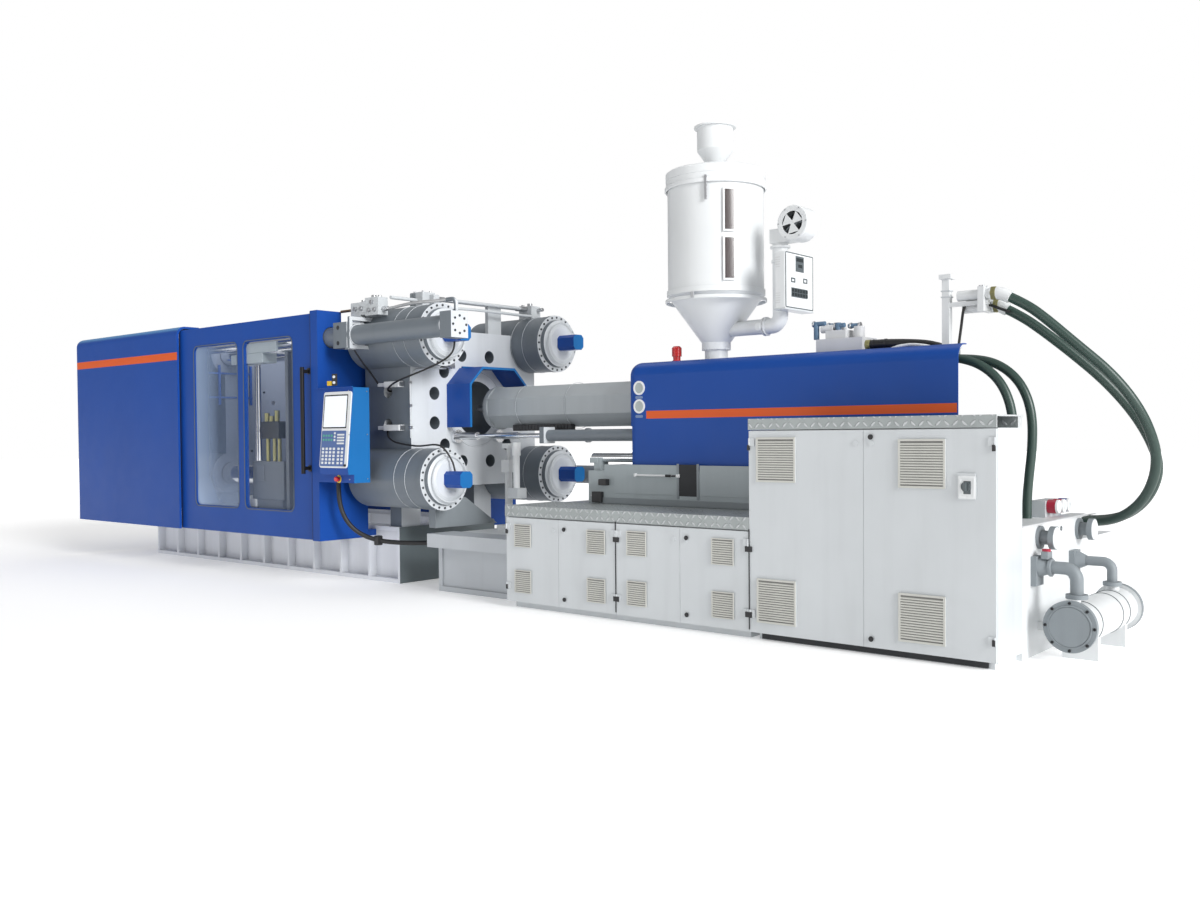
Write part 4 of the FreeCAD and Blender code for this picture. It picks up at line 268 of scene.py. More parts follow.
def make_wear_and_shade():
    """Slow colour drift, painted shade in corners, dirt in vertical runs, uneven gloss and a fine surface
    grain.
    """
    tree, given, made = group("wear_and_shade", [("Color", COLOR, (0.8, 0.8, 0.8, 1)), ("Roughness", FLOAT, 0.4),
        ("Dirt and Shade", FLOAT, 0.3), ("Grain", FLOAT, 0.1), ("Grain Scale", FLOAT, 90.0)], [("Color", COLOR),
        ("Roughness", FLOAT), ("Normal", VECTOR)])
    place = add(tree, "ShaderNodeTexCoord").outputs["Object"]
    drift = noise(tree, place, 1.7, 3.0)
    runs = add(tree, "ShaderNodeMapping", {"Vector": place, "Scale": (9.0, 9.0, 0.8)}).outputs[0]
    streak = spread(tree, noise(tree, runs, 1.0, 4.0), 0.48, 0.8, 0.0, 1.0)
    # Painted shade: the colour darkens where ambient occlusion finds corners and recesses.
    corner_shade = add(tree, "ShaderNodeAmbientOcclusion", {"Distance": 0.07}, samples=4,
        only_local=True).outputs["AO"]
    corner_shade = spread(tree, corner_shade, 0.35, 0.95, 1.0, 0.0)
    speck = spread(tree, noise(tree, place, 240.0, 2.0), 0.66, 0.76, 0.0, 1.0)
    # Dirt from the runs and specks, and painted shade from the corners, darken the colour together.
    dirt_and_shade = calc(tree, "MULTIPLY_ADD", streak, 0.35, calc(tree, "MULTIPLY", corner_shade, 0.8))
    dirt_and_shade = calc(tree, "MULTIPLY_ADD", speck, 0.12, dirt_and_shade)
    dirt_and_shade = add(tree, "ShaderNodeMath", {0: calc(tree, "MULTIPLY", dirt_and_shade, given.outputs["Dirt and Shade"]), 1: 1.0},
               operation="MINIMUM").outputs[0]
    shade = add(tree, "ShaderNodeHueSaturation", {
        "Value": spread(tree, drift, 0.25, 0.75, 0.95, 1.05), "Color": given.outputs["Color"]}).outputs[0]
    dark = add(tree, "ShaderNodeHueSaturation",
        {"Value": 0.45, "Saturation": 0.75, "Color": shade}).outputs[0]
    tree.links.new(mix(tree, dirt_and_shade, shade, dark), made.inputs["Color"])
    grain = noise(tree, place, given.outputs["Grain Scale"], 3.0, 0.6)
    gloss = calc(tree, "MULTIPLY_ADD", calc(tree, "SUBTRACT", noise(tree, place, 6.0, 4.0), 0.5), 0.18,
                 given.outputs["Roughness"])
    tree.links.new(calc(tree, "MULTIPLY_ADD", dirt_and_shade, 0.15, gloss), made.inputs["Roughness"])
    bump = add(tree, "ShaderNodeBump", {"Strength": given.outputs["Grain"], "Distance": 0.001,
        "Height": grain})
    tree.links.new(bump.outputs[0], made.inputs["Normal"])
    return tree


def make_plates():
    """Raised lozenges of chequered plate, turned by turns left and right, as a height from 0 to 1."""
    tree, given, made = group("chequers", [("Pitch", FLOAT, 0.045)], [("Height", FLOAT)])
    place = add(tree, "ShaderNodeTexCoord").outputs["Object"]
    normal = add(tree, "ShaderNodeSeparateXYZ", {0: add(tree, "ShaderNodeNewGeometry").outputs["Normal"]})
    split = add(tree, "ShaderNodeSeparateXYZ", {0: place})
    upright = calc(tree, "GREATER_THAN", calc(tree, "ABSOLUTE", normal.outputs[1]), 0.5)
    across = add(tree, "ShaderNodeMix", {0: upright, 2: split.outputs[1], 3: split.outputs[2]}).outputs[0]
    u = calc(tree, "DIVIDE", split.outputs[0], given.outputs["Pitch"])
    v = calc(tree, "DIVIDE", across, given.outputs["Pitch"])
    odd = calc(tree, "FLOORED_MODULO", calc(tree, "ADD", calc(tree, "FLOOR", u), calc(tree, "FLOOR", v)), 2.0)
    sign = calc(tree, "MULTIPLY_ADD", odd, 2.0, -1.0)
    a = calc(tree, "SUBTRACT", calc(tree, "FRACT", u), 0.5)
    b = calc(tree, "MULTIPLY", calc(tree, "SUBTRACT", calc(tree, "FRACT", v), 0.5), sign)
    long = calc(tree, "MULTIPLY", calc(tree, "ADD", a, b), 0.707)
    wide = calc(tree, "MULTIPLY", calc(tree, "SUBTRACT", a, b), 0.707)
    reach = calc(tree, "ADD", calc(tree, "POWER", calc(tree, "DIVIDE", long, 0.46), 2.0),
                 calc(tree, "POWER", calc(tree, "DIVIDE", wide, 0.15), 2.0))
    tree.links.new(spread(tree, reach, 0.5, 1.1, 1.0, 0.0), made.inputs["Height"])
    return tree


WEAR_AND_SHADE = make_wear_and_shade()
CHEQUERS = make_plates()


def new_material(name):
    """Node material with its tree and its Principled shader."""
    item = bpy.data.materials.new(name)
    item.use_nodes = True
    tree = item.node_tree
    shader = tree.nodes["Principled BSDF"]
    return item, tree, shader


def finish(name, color, rough=0.4, metal=0.0, dirt_and_shade=0.3, grain=0.1, grain_scale=90.0, coat=0.0,
           marks=(), **extra):
    """Principled material with the shared wear and painted corner shade; marks are (mask builder, colour) laid
    over the base colour.
    """
    item, tree, shader = new_material(name)
    base = add(tree, "ShaderNodeRGB")
    base.outputs[0].default_value = (*color, 1)
    tint = base.outputs[0]
    if marks:
        place = add(tree, "ShaderNodeTexCoord").outputs["Object"]
        xyz = add(tree, "ShaderNodeSeparateXYZ", {0: place}).outputs
        nrm = add(tree, "ShaderNodeSeparateXYZ",
            {0: add(tree, "ShaderNodeNewGeometry").outputs["True Normal"]}).outputs
        for builder, shade in marks:
            tint = mix(tree, builder(tree, xyz, nrm), tint, shade)
    wear_and_shade = add(tree, "ShaderNodeGroup", node_tree=WEAR_AND_SHADE)
    tree.links.new(tint, wear_and_shade.inputs["Color"])
    for key, value in (("Roughness", rough), ("Dirt and Shade", dirt_and_shade), ("Grain", grain), ("Grain Scale", grain_scale)):
        wear_and_shade.inputs[key].default_value = value
    tree.links.new(wear_and_shade.outputs["Color"], shader.inputs["Base Color"])
    tree.links.new(wear_and_shade.outputs["Roughness"], shader.inputs["Roughness"])
    tree.links.new(wear_and_shade.outputs["Normal"], shader.inputs["Normal"])
    shader.inputs["Metallic"].default_value = metal
    shader.inputs["Coat Weight"].default_value = coat
    shader.inputs["Coat Roughness"].default_value = 0.12
    for key, value in extra.items():
        shader.inputs[key.replace("_", " ")].default_value = value
    return item


def facing(axis, sign=0):
    """Mask of faces whose normal points along a row axis: both ways, or one."""
    def build(tree, xyz, nrm):
        value = nrm["XYZ".index(axis)]
        value = calc(tree, "ABSOLUTE", value) if sign == 0 else calc(tree, "MULTIPLY", value, float(sign))
        return spread(tree, value, 0.45, 0.75, 0.0, 1.0)
    return build


def band(**limits):
    """Mask of a box given by limits on x, y and z in metres."""
    def build(tree, xyz, nrm):
        result = None
        for axis, (low, high) in limits.items():
            mask = within(tree, xyz["xyz".index(axis)], low, high)
            result = mask if result is None else calc(tree, "MULTIPLY", result, mask)
        return result
    return build


def both(first, second):
    """Mask where two masks meet."""
    def build(tree, xyz, nrm):
        return calc(tree, "MULTIPLY", first(tree, xyz, nrm), second(tree, xyz, nrm))
    return build


# LIT_BLUE is the blue enamel painted as lit, for faces that look towards +X.
BLUE, LIT_BLUE, ORANGE = (0.009, 0.066, 0.33), (0.014, 0.15, 0.42), (0.72, 0.11, 0.02)
WHITE, DARK = (0.74, 0.76, 0.77), (0.012, 0.012, 0.014)


def make_enamel(name, dirt_and_shade, color=BLUE, marks=()):
    """Half-gloss sheet enamel."""
    return finish(name, color, 0.36, dirt_and_shade=dirt_and_shade, grain=0.05, Specular_IOR_Level=0.22, marks=marks)


# +X faces of the blue enamel are painted lighter, as lit from that side.
enamel = make_enamel("blue enamel", 0.15, marks=[(facing("X", 1), LIT_BLUE)])
plain_enamel = make_enamel("plain blue enamel", 0.15)
# Top faces of the cover are painted a lighter blue, as lit from above.
cover_enamel = make_enamel("cover enamel", 0.12, marks=[(facing("Z", 1), (0.10, 0.28, 0.55)),
    (both(band(z=(1.905, 1.975), y=(-1.2, -1.1)), facing("Y")), ORANGE)])
unit_enamel = make_enamel("unit enamel", 0.12, marks=[
    (both(band(z=(1.300, 1.353), x=(2.560, 4.75), y=(-0.4, -0.28)), facing("Y")), ORANGE)])
door_enamel = make_enamel("door enamel", 0.15, marks=[(band(y=(-1.3, -1.0712)), DARK),
    (band(y=(1.0712, 1.3)), DARK)])
# Painted light and shade: the platen grey is dark on its sides, as shade, and light on +X faces, as lit from
# that side.
platen_paint = finish("platen paint", (0.16, 0.185, 0.21), 0.42, dirt_and_shade=0.5, grain=0.35, grain_scale=60.0,
    marks=[(facing("X", 1), (0.66, 0.69, 0.72))])
# +X faces of the moving platen are painted lighter, as lit from that side.
inner_paint = finish("inner platen paint", (0.10, 0.12, 0.16), 0.45, dirt_and_shade=0.4, grain=0.35, marks=[
    (facing("X", 1), (0.20, 0.23, 0.30))])
barrel_paint = finish("barrel paint", (0.34, 0.37, 0.39), 0.34, dirt_and_shade=0.4, grain=0.12, coat=0.2)
step_paint = finish("step paint", (0.52, 0.55, 0.58), 0.42, dirt_and_shade=0.4, grain=0.25)
grey_paint = finish("grey paint", (0.84, 0.86, 0.90), 0.42, dirt_and_shade=0.4, grain=0.25, marks=[
    (both(facing("X", 1), band(z=(-0.1, 0.47), x=(0.1, 0.3))), (0.14, 0.17, 0.18))])
white_paint = finish("white paint", WHITE, 0.42, dirt_and_shade=0.25, grain=0.12)
cabinet_paint = finish("cabinet paint", (0.62, 0.65, 0.67), 0.38, dirt_and_shade=0.3, grain=0.22, grain_scale=150.0)
light_paint = finish("light grey paint", (0.60, 0.63, 0.65), 0.3, dirt_and_shade=0.3, grain=0.1, coat=0.3)
cast_grey = finish("cast grey", (0.25, 0.28, 0.30), 0.5, dirt_and_shade=0.5, grain=0.4, grain_scale=70.0)
inner_grey = finish("inner grey", (0.13, 0.15, 0.18), 0.45, dirt_and_shade=0.4, grain=0.25)
frame_grey = finish("frame grey", (0.38, 0.43, 0.45), 0.45, dirt_and_shade=0.5, grain=0.25)
chrome = finish("hard chrome", (0.82, 0.83, 0.85), 0.12, metal=1.0, dirt_and_shade=0.1, grain=0.02)
steel = finish("machined steel", (0.55, 0.56, 0.58), 0.32, metal=1.0, dirt_and_shade=0.35, grain=0.15,
    grain_scale=260.0)
brass = finish("brown fitting", (0.36, 0.22, 0.11), 0.35, metal=0.9, dirt_and_shade=0.4, grain=0.1)
olive = finish("olive fitting", (0.33, 0.31, 0.14), 0.38, metal=0.8, dirt_and_shade=0.4, grain=0.1)
rubber = finish("black rubber", (0.014, 0.014, 0.015), 0.5, dirt_and_shade=0.3, grain=0.3)
green_rubber = finish("green rubber", (0.035, 0.066, 0.055), 0.36, dirt_and_shade=0.3, grain=0.5, grain_scale=160.0)
black = finish("black plastic", (0.016, 0.016, 0.018), 0.4, dirt_and_shade=0.2, grain=0.1)
red = finish("red plastic", (0.62, 0.02, 0.02), 0.22, dirt_and_shade=0.1, grain=0.02, coat=0.5)
# The blue enamel painted as lit, used whole for a part that faces +X.
lit_blue_enamel = make_enamel("lit blue enamel", 0.15, LIT_BLUE)
valve_blue = finish("valve blue", (0.10, 0.18, 0.28), 0.4, dirt_and_shade=0.4, grain=0.15)
yellow = finish("yellow plastic", (0.80, 0.52, 0.02), 0.35, dirt_and_shade=0.2, grain=0.05)
bright = finish("bright paint", (0.80, 0.82, 0.83), 0.3, dirt_and_shade=0.1, grain=0.04)
dark_glass = finish("dark glass", (0.02, 0.028, 0.032), 0.14, dirt_and_shade=0.05, grain=0.02, coat=0.6)
screen_white = finish("lit screen", (0.82, 0.87, 0.92), 0.2, dirt_and_shade=0.02, grain=0.01, Emission_Strength=0.25)
tag_blue = finish("tag blue", (0.16, 0.24, 0.42), 0.4, dirt_and_shade=0.1, grain=0.05)
key_blue = finish("keypad blue", (0.09, 0.16, 0.38), 0.4, dirt_and_shade=0.1, grain=0.05)
key_green = finish("key green", (0.10, 0.42, 0.30), 0.35, dirt_and_shade=0.05, grain=0.02)
socket_steel = finish("black screws", (0.10, 0.11, 0.12), 0.4, metal=0.7, dirt_and_shade=0.3, grain=0.1)
gauge_face = finish("gauge face", (0.38, 0.43, 0.42), 0.3, dirt_and_shade=0.2, grain=0.05, coat=0.4)
sight_brown = finish("granules behind glass", (0.035, 0.02, 0.02), 0.3, dirt_and_shade=0.3, grain=0.8,
    grain_scale=300.0, coat=0.6)
slate = finish("slate plastic", (0.10, 0.12, 0.13), 0.4, dirt_and_shade=0.2, grain=0.1)
pale_grey = finish("pale grey plastic", (0.66, 0.67, 0.68), 0.4, dirt_and_shade=0.3, grain=0.1)
cream = finish("filter cream", (0.60, 0.60, 0.56), 0.5, dirt_and_shade=0.35, grain=0.2)
# Painted shade: the dark sheet behind the filter blades.
grille_shade = finish("grille shade sheet", (0.20, 0.20, 0.19), 0.7, dirt_and_shade=0.4, grain=0.3)
socket_red = finish("socket red", (0.42, 0.02, 0.05), 0.35, dirt_and_shade=0.2, grain=0.08)
socket_blue = finish("socket blue", (0.03, 0.06, 0.30), 0.35, dirt_and_shade=0.2, grain=0.08)
braid = finish("braided steel", (0.60, 0.61, 0.62), 0.38, metal=0.5, dirt_and_shade=0.3, grain=0.9, grain_scale=420.0)
# Near-black used as painted shade in gaps, holes and recesses, and for dark seams and bolts.
gloom = finish("dark recess", (0.02, 0.022, 0.026), 0.6, dirt_and_shade=0.3, grain=0.2)


def make_tread():
    """Chequered aluminium plate: raised lozenges painted brighter, partly polish and partly painted highlight,
    worn smooth on top, and plain +X ends painted bright, as lit from that side.
    """
    item, tree, shader = new_material("tread plate")
    raised = add(tree, "ShaderNodeGroup", node_tree=CHEQUERS).outputs["Height"]
    wear_and_shade = add(tree, "ShaderNodeGroup", node_tree=WEAR_AND_SHADE)
    for key, value in (("Color", (0.36, 0.39, 0.39, 1)), ("Roughness", 0.4), ("Dirt and Shade", 0.6), ("Grain", 0.2)):
        wear_and_shade.inputs[key].default_value = value
    bump = add(tree, "ShaderNodeBump", {"Strength": 0.9, "Distance": 0.003, "Height": raised,
                                        "Normal": wear_and_shade.outputs["Normal"]})
    east = add(tree, "ShaderNodeSeparateXYZ",
        {0: add(tree, "ShaderNodeNewGeometry").outputs["True Normal"]}).outputs[0]
    # Raised lozenges are painted brighter: polish on worn tops, and a painted highlight.
    plate = mix(tree, raised, wear_and_shade.outputs["Color"], (0.50, 0.52, 0.53))
    # +X ends are painted brighter, as lit from that side.
    tree.links.new(mix(tree, spread(tree, east, 0.5, 0.7, 0.0, 1.0), plate, (0.70, 0.72, 0.73)),
        shader.inputs["Base Color"])
    tree.links.new(calc(tree, "MULTIPLY_ADD", raised, -0.12, wear_and_shade.outputs["Roughness"]),
        shader.inputs["Roughness"])
    tree.links.new(bump.outputs[0], shader.inputs["Normal"])
    shader.inputs["Metallic"].default_value = 0.35
    return item


def make_pane():
    """Clear glossy pane with a blue haze at the left window's left and low edges."""
    item, tree, shader = new_material("clear pane")
    xyz = add(tree, "ShaderNodeSeparateXYZ", {0: add(tree, "ShaderNodeTexCoord").outputs["Object"]}).outputs
    left = spread(tree, xyz[0], -1.99, -1.60, 0.85, 0.12)
    low = spread(tree, xyz[2], 0.58, 0.85, 0.35, 0.0)
    haze = calc(tree, "MULTIPLY", calc(tree, "ADD", left, low), spread(tree, xyz[0], -1.26, -1.2, 1.0, 0.1))
    cloud = noise(tree, add(tree, "ShaderNodeTexCoord").outputs["Object"], 2.0, 2.0)
    tree.links.new(calc(tree, "MULTIPLY_ADD", cloud, 0.08, haze), shader.inputs["Alpha"])
    shader.inputs["Base Color"].default_value = (0.30, 0.40, 0.58, 1)
    shader.inputs["Roughness"].default_value = 0.06
    shader.inputs["Specular IOR Level"].default_value = 0.25
    return item


tread = make_tread()
pane = make_pane()

# ---------------------------------------------------------------- camera
lens = bpy.data.cameras.new("camera")
lens.lens = 32.93
lens.sensor_width = 36
camera = bpy.data.objects.new("camera", lens)
camera.matrix_world = Matrix((
    (0.760757, -0.007676, 0.648991, 7.2010),
    (0.648982, 0.021958, -0.760487, -6.21783),
    (-0.008413, 0.999729, 0.021687, 1.19317),
    (0, 0, 0, 1)))
scene.collection.objects.link(camera)
scene.camera = camera


# ---------------------------------------------------------------- cords
def hose(name, route, diameter, material, body, solid):
    """Free cord: a smooth curve led by the route's points, in metres."""
    curve = bpy.data.curves.new(name, "CURVE")
    curve.dimensions = "3D"
    curve.bevel_depth = diameter / 2
    curve.bevel_resolution = 5
    curve.resolution_u = 10
    curve.use_fill_caps = True
    line = curve.splines.new("NURBS")
    line.points.add(len(route) - 1)
    for point, place in zip(line.points, route):
        point.co = (*place, 1)
    line.order_u = 3
    line.use_endpoint_u = True
    curve.materials.append(material)
    item = bpy.data.objects.new(name, curve)
    scene.collection.objects.link(item)
    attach(item, body)
    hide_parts(solid)
    return item


hose("conduit", [(0.060, -1.010, 0.840), (0.060, -1.010, 0.732), (0.071, -0.994, 0.619),
    (0.097, -0.961, 0.527), (0.139, -0.911, 0.454), (0.198, -0.849, 0.403), (0.274, -0.778, 0.372),
    (0.362, -0.705, 0.358), (0.460, -0.637, 0.354), (0.564, -0.583, 0.357), (0.668, -0.552, 0.360),
    (0.768, -0.552, 0.360)], 0.036, rubber, "machine", "clamp_cords")
hose("traverse_hose", [(0.440, -0.850, 2.175), (0.530, -0.850, 2.175), (0.640, -0.866, 2.178),
    (0.770, -0.894, 2.180), (0.900, -0.922, 2.178), (1.020, -0.943, 2.173), (1.120, -0.953, 2.167),
    (1.205, -0.955, 2.165), (1.290, -0.955, 2.165)], 0.024, braid, "machine", "clamp_cords")
hose("sensor_lead_high", [(1.010, -0.637, 1.903), (1.010, -0.637, 1.850), (0.985, -0.662, 1.795),
    (0.930, -0.712, 1.745), (0.850, -0.760, 1.705), (0.740, -0.790, 1.668), (0.620, -0.800, 1.640),
    (0.500, -0.790, 1.612), (0.400, -0.765, 1.585), (0.325, -0.728, 1.562), (0.292, -0.690, 1.552),
    (0.282, -0.645, 1.548)], 0.014, rubber, "machine", "clamp_cords")
hose("return_hose_upper", [(4.940, 0.006, 1.948), (5.028, 0.0156, 1.900), (5.126, 0.042, 1.815),
    (5.263, 0.090, 1.676), (5.438, 0.170, 1.500), (5.560, 0.260, 1.300), (5.608, 0.360, 1.100),
    (5.595, 0.423, 0.973), (5.545, 0.490, 0.857), (5.466, 0.555, 0.757), (5.357, 0.608, 0.682),
    (5.221, 0.632, 0.650), (5.121, 0.632, 0.650)], 0.056, green_rubber, "carriage", "return_hoses")
hose("return_hose_lower", [(4.895, 0.088, 1.888), (4.976, 0.0988, 1.8412), (5.075, 0.130, 1.760),
    (5.210, 0.178, 1.637), (5.375, 0.255, 1.470), (5.505, 0.345, 1.285), (5.578, 0.440, 1.105),
    (5.588, 0.512, 0.978), (5.545, 0.582, 0.862), (5.466, 0.649, 0.762), (5.357, 0.702, 0.687),
    (5.221, 0.726, 0.655), (5.121, 0.726, 0.655)], 0.056, green_rubber, "carriage", "return_hoses")
for index, (side, out, length) in enumerate(((-0.062, 0.0, 1.238), (0.066, 0.062, 1.299))):
    hose("feed_hose_%d" % index, [(4.500, side, 1.625), (4.590, side, 1.625), (4.700 + out, side, 1.610),
        (4.805 + out, side, 1.568), (4.895 + out, side, 1.490), (4.952 + out, side, 1.385),
        (4.979 + out, side, 1.260), (4.978 + out, side, 1.100), (4.960 + out, side, 0.940),
        (4.948 + out, side, 0.800), (4.948 + out, side, 0.700)], 0.052, green_rubber, "carriage",
        "feed_hoses")


MATERIALS = {
    enamel: "sensor_caps control_box purge_hood",
    plain_enamel: "guard_post rear_guard",
    cover_enamel: "left_cover",
    unit_enamel: "injection_cover",
    door_enamel: "operator_door rear_door",
    platen_paint: "fixed_platen lock_covers traverse_cylinders injection_cylinders pull_cylinders",
    grey_paint: "clamp_base",
    step_paint: "front_step",
    frame_grey: "unit_frame",
    white_paint: "bed heat_exchanger barrel_support hose_post "
        "hopper hopper_lid loader_cup dryer_duct dryer_control",
    cabinet_paint: "cabinets low_door_1 low_door_2 low_door_3 low_door_4 tall_door_1 tall_door_2",
    barrel_paint: "barrel_cover",
    pale_grey: "valve_manifold",
    inner_paint: "moving_platen",
    light_paint: "socket_box platen_manifold",
    cast_grey: "cooler_pipework pump_motor carriage_housing ram fan",
    chrome: "tie_bars guide_bars pull_rods traverse_rods",
    steel: "nut_jaws_front nut_jaws_rear ejector barrel screw",
    tread: "tread_plates",
    pane: "door_windows",
    rubber: "clamp_cords feed_hoses",
    green_rubber: "return_hoses",
    red: "beacon e_stop",
    slate: "main_switch",
}
for material, names in MATERIALS.items():
    for name in names.split():
        nodes[name].data.materials.clear()
        nodes[name].data.materials.append(material)
SOFT_EDGES = {
    4: "operator_door rear_door left_cover injection_cover purge_hood control_box guard_post sensor_caps",
    2.5: "cabinets low_door_1 low_door_2 low_door_3 low_door_4 tall_door_1 tall_door_2 front_step bed",
    3: "fixed_platen moving_platen lock_covers clamp_base unit_frame barrel_cover traverse_cylinders",
}
for width, names in SOFT_EDGES.items():
    for name in names.split():
        soften(nodes[name], width)

# ---------------------------------------------------------------- guard and door
door_seals = [((-1979, -1260), (585, 2016)), ((-1174, -446), (585, 2016))]
piece("window_gaskets", [window_frame("Y", x, z, 62, 7, (-1074, -1069)) for x, z in door_seals], slate,
    "front_door")
piece("door_handle_roses", [rod("Y", -225, z, (-1078, -1069), 27) for z in (944, 1717)], black, "front_door",
    2)
piece("door_edge_trim", [block((-2226, -2218), (-1074, -1036), (380, 2168))], black, "front_door")
piece("guard_seam", [block((-173, -169.5), (-1093.5, -1060), (375, 2186))], gloom, "machine")


def on_tablet(shape):
    """Lays a shape drawn in x, height and outward distance on the tilted front of the operator panel."""
    verts, faces = shape
    slope = math.atan2(57, 599)
    out = np.empty_like(verts)
    out[:, 0] = verts[:, 0]
    out[:, 1] = -1150 + (verts[:, 1] - 951) * math.tan(slope) - verts[:, 2] * math.cos(slope)
    out[:, 2] = verts[:, 1] + verts[:, 2] * math.sin(slope)
    return out, faces


def slab(x, z, low, high, radius=6):
    """Plate with round corners lying on the panel, from one height above it to another."""
    return on_tablet(extrude("Z", soft(x, z, radius), (low, high)))


piece("upper_lead", [tube([(215, -960, 1868), (220, -900, 1790), (215, -800, 1690), (205, -720, 1610),
    (205, -690, 1600)], 7)], rubber, "machine")
piece("lower_lead", [tube([(292, -690, 1262), (292, -706, 1225), (340, -726, 1180), (440, -726, 1143),
    (650, -706, 1118), (860, -706, 1128), (930, -682, 1098), (985, -652, 1005), (1008, -640, 920)], 7)],
    rubber, "machine")
piece("conduit_clamp", [block((244, 290), (-818, -762), (338, 414)),
    block((252, 282), (-762, -690), (350, 372))], black, "machine", 8)
piece("tablet_shell", [slab((18, 368), (955, 1540), -2, 9, 22)], bright, "machine", 3)
piece("tablet_screen_rim", [slab((32, 330), (1258, 1516), 9, 10.5, 8)], dark_glass, "machine")
piece("tablet_screen", [slab((42, 320), (1268, 1506), 10.5, 11.2, 4)], screen_white, "machine")
piece("tablet_keypad", [slab((28, 334), (968, 1240), 9, 10.5, 8)], key_blue, "machine")
keys, green_keys, pale_keys = [], [], []
for row in range(5):
    for column in range(6):
        x = 46 + column * 46 + (12 if column > 3 else 0)
        keys.append(slab((x, x + 26), (984 + row * 27, 1002 + row * 27), 10.5, 13.5, 4))
for row in range(2):
    green_keys += [slab((46 + 34 * k, 66 + 34 * k), (1162 + row * 32, 1178 + row * 32), 10.5, 13, 4)
        for k in range(4)]
for row in range(4):
    pale_keys.append(slab((228, 316), (1136 + row * 22, 1149 + row * 22), 10.5, 13, 4))
pale_keys += [slab((186, 206), (1160 + 26 * k, 1176 + 26 * k), 10.5, 13, 4) for k in range(3)]
piece("tablet_keys", keys + pale_keys, bright, "machine", 0.8)
piece("tablet_green_keys", green_keys, key_green, "machine", 0.8)
piece("tablet_knob", [on_tablet(rod("Z", 350, 975, (9, 22), 9))], black, "machine", 1)
piece("stop_ring", [ring("Y", 180, 869, [(-1096, 20.5), (-1096, 29), (-1091, 31), (-1091, 20.5)])], yellow,
    "machine")
piece("key_switch_plate", [block((112, 176), (-1097, -1091), (1588, 1680))], black, "machine", 1.5)
piece("key_switch_parts", [rod("Y", 144, z, (-1106, -1096), 11) for z in (1612, 1656)], bright, "machine", 1)
piece("key_tag", [block((48, 106), (-1096, -1091), (1590, 1626))], yellow, "machine", 1)
piece("box_shelf_lip", [block((-78, 372), (-1104, -1091), (1570, 1576))], enamel, "machine", 1)
piece("box_screws", [bolt("X", y, z, 370.5, 5, 3) for y in (-1135, -965) for z in (870, 1210, 1540)], steel,
    "machine")
piece("post_trim", [block((-78.5, -74), (-614, -600), (1105, 1900))], bright, "machine", 1)

# ---------------------------------------------------------------- fixed platen and its fittings
bar_places = [(side * BAR_SIDE, AXIS + BAR_RISE * flip) for side in (-1, 1) for flip in (-1, 1)]
cover_bolts = []
for y, z in bar_places:
    cover_bolts += bolt_ring("X", y, z, 879.5, 221, 24, 8.5, 8)
piece("cover_bolts", cover_bolts, socket_steel, "machine")
piece("cover_ribs", [ring("X", y, z, [(a, r - 8), (a, r + 3), (a + 7, r + 3), (a + 7, r - 8)], 72)
                     for y, z in bar_places for a, r in ((690, 235), (560, 235))], platen_paint, "machine", 1)
piece("dome_rims", [ring("X", y, z, [(944, 168), (944, 178), (948, 176), (948, 168)], 64) for y,
    z in bar_places], light_paint, "machine")
piece("well_ring", [ring("X", 0, AXIS, [(PLATEN_BACK, 300), (PLATEN_BACK, 316), (563, 313), (563, 303)], 96)],
    platen_paint, "machine")
piece("lead_blocks", [block((300, 478), (-745, -689), (1578, 1624)),
    block((290, 480), (-745, -689), (1238, 1284)), block((200, 300), (-728, -689), (1588, 1616)),
    block((200, 290), (-728, -689), (1246, 1276))], bright, "machine", 3)
piece("lead_block_ends", [block((478, 486), (-738, -694), (1584, 1618)),
    block((480, 488), (-738, -694), (1243, 1279))], steel, "machine", 1)
piece("grease_pipe", [tube([(566, -330, 1733), (566, -480, 1726), (566, -600, 1719), (566, -660, 1700),
    (566, -694, 1640), (566, -697, 1500), (566, -697, 1330), (566, -697, 1180)], 7)], light_paint, "machine")
piece("pipe_clips", [block((PLATEN_BACK, 576), (-707, -687), (z, z + 22)) for z in (1250, 1420, 1600)], steel,
    "machine", 1)
piece("bleed_valves", [rod("X", -340, 1765, (PLATEN_BACK, 640), 24), rod("X", -340, 1765, (600, 622), 34),
    rod("Z", 620, -340, (1765, 1830), 13), block((575, 625), (-318, -285), (1730, 1790)),
    rod("X", -300, 1805, (PLATEN_BACK, 615), 15)], steel, "machine", 1.5)
piece("gusset_cover", [extrude("X", [(-520, 700), (-200, 700), (150, 470), (-520, 470)], (PLATEN_BACK, 640))],
    cast_grey, "machine", 3)
piece("traverse_bolts", bolt_ring("X", *TRAVERSE, 1418.5, 62, 8, 9, 6), socket_steel, "machine")
piece("traverse_collars", [ring("X", *TRAVERSE, [(a, 76), (a, 86), (a + 34, 86), (a + 34, 76)], 48)
    for a in (232, 1262)], platen_paint, "machine", 1)
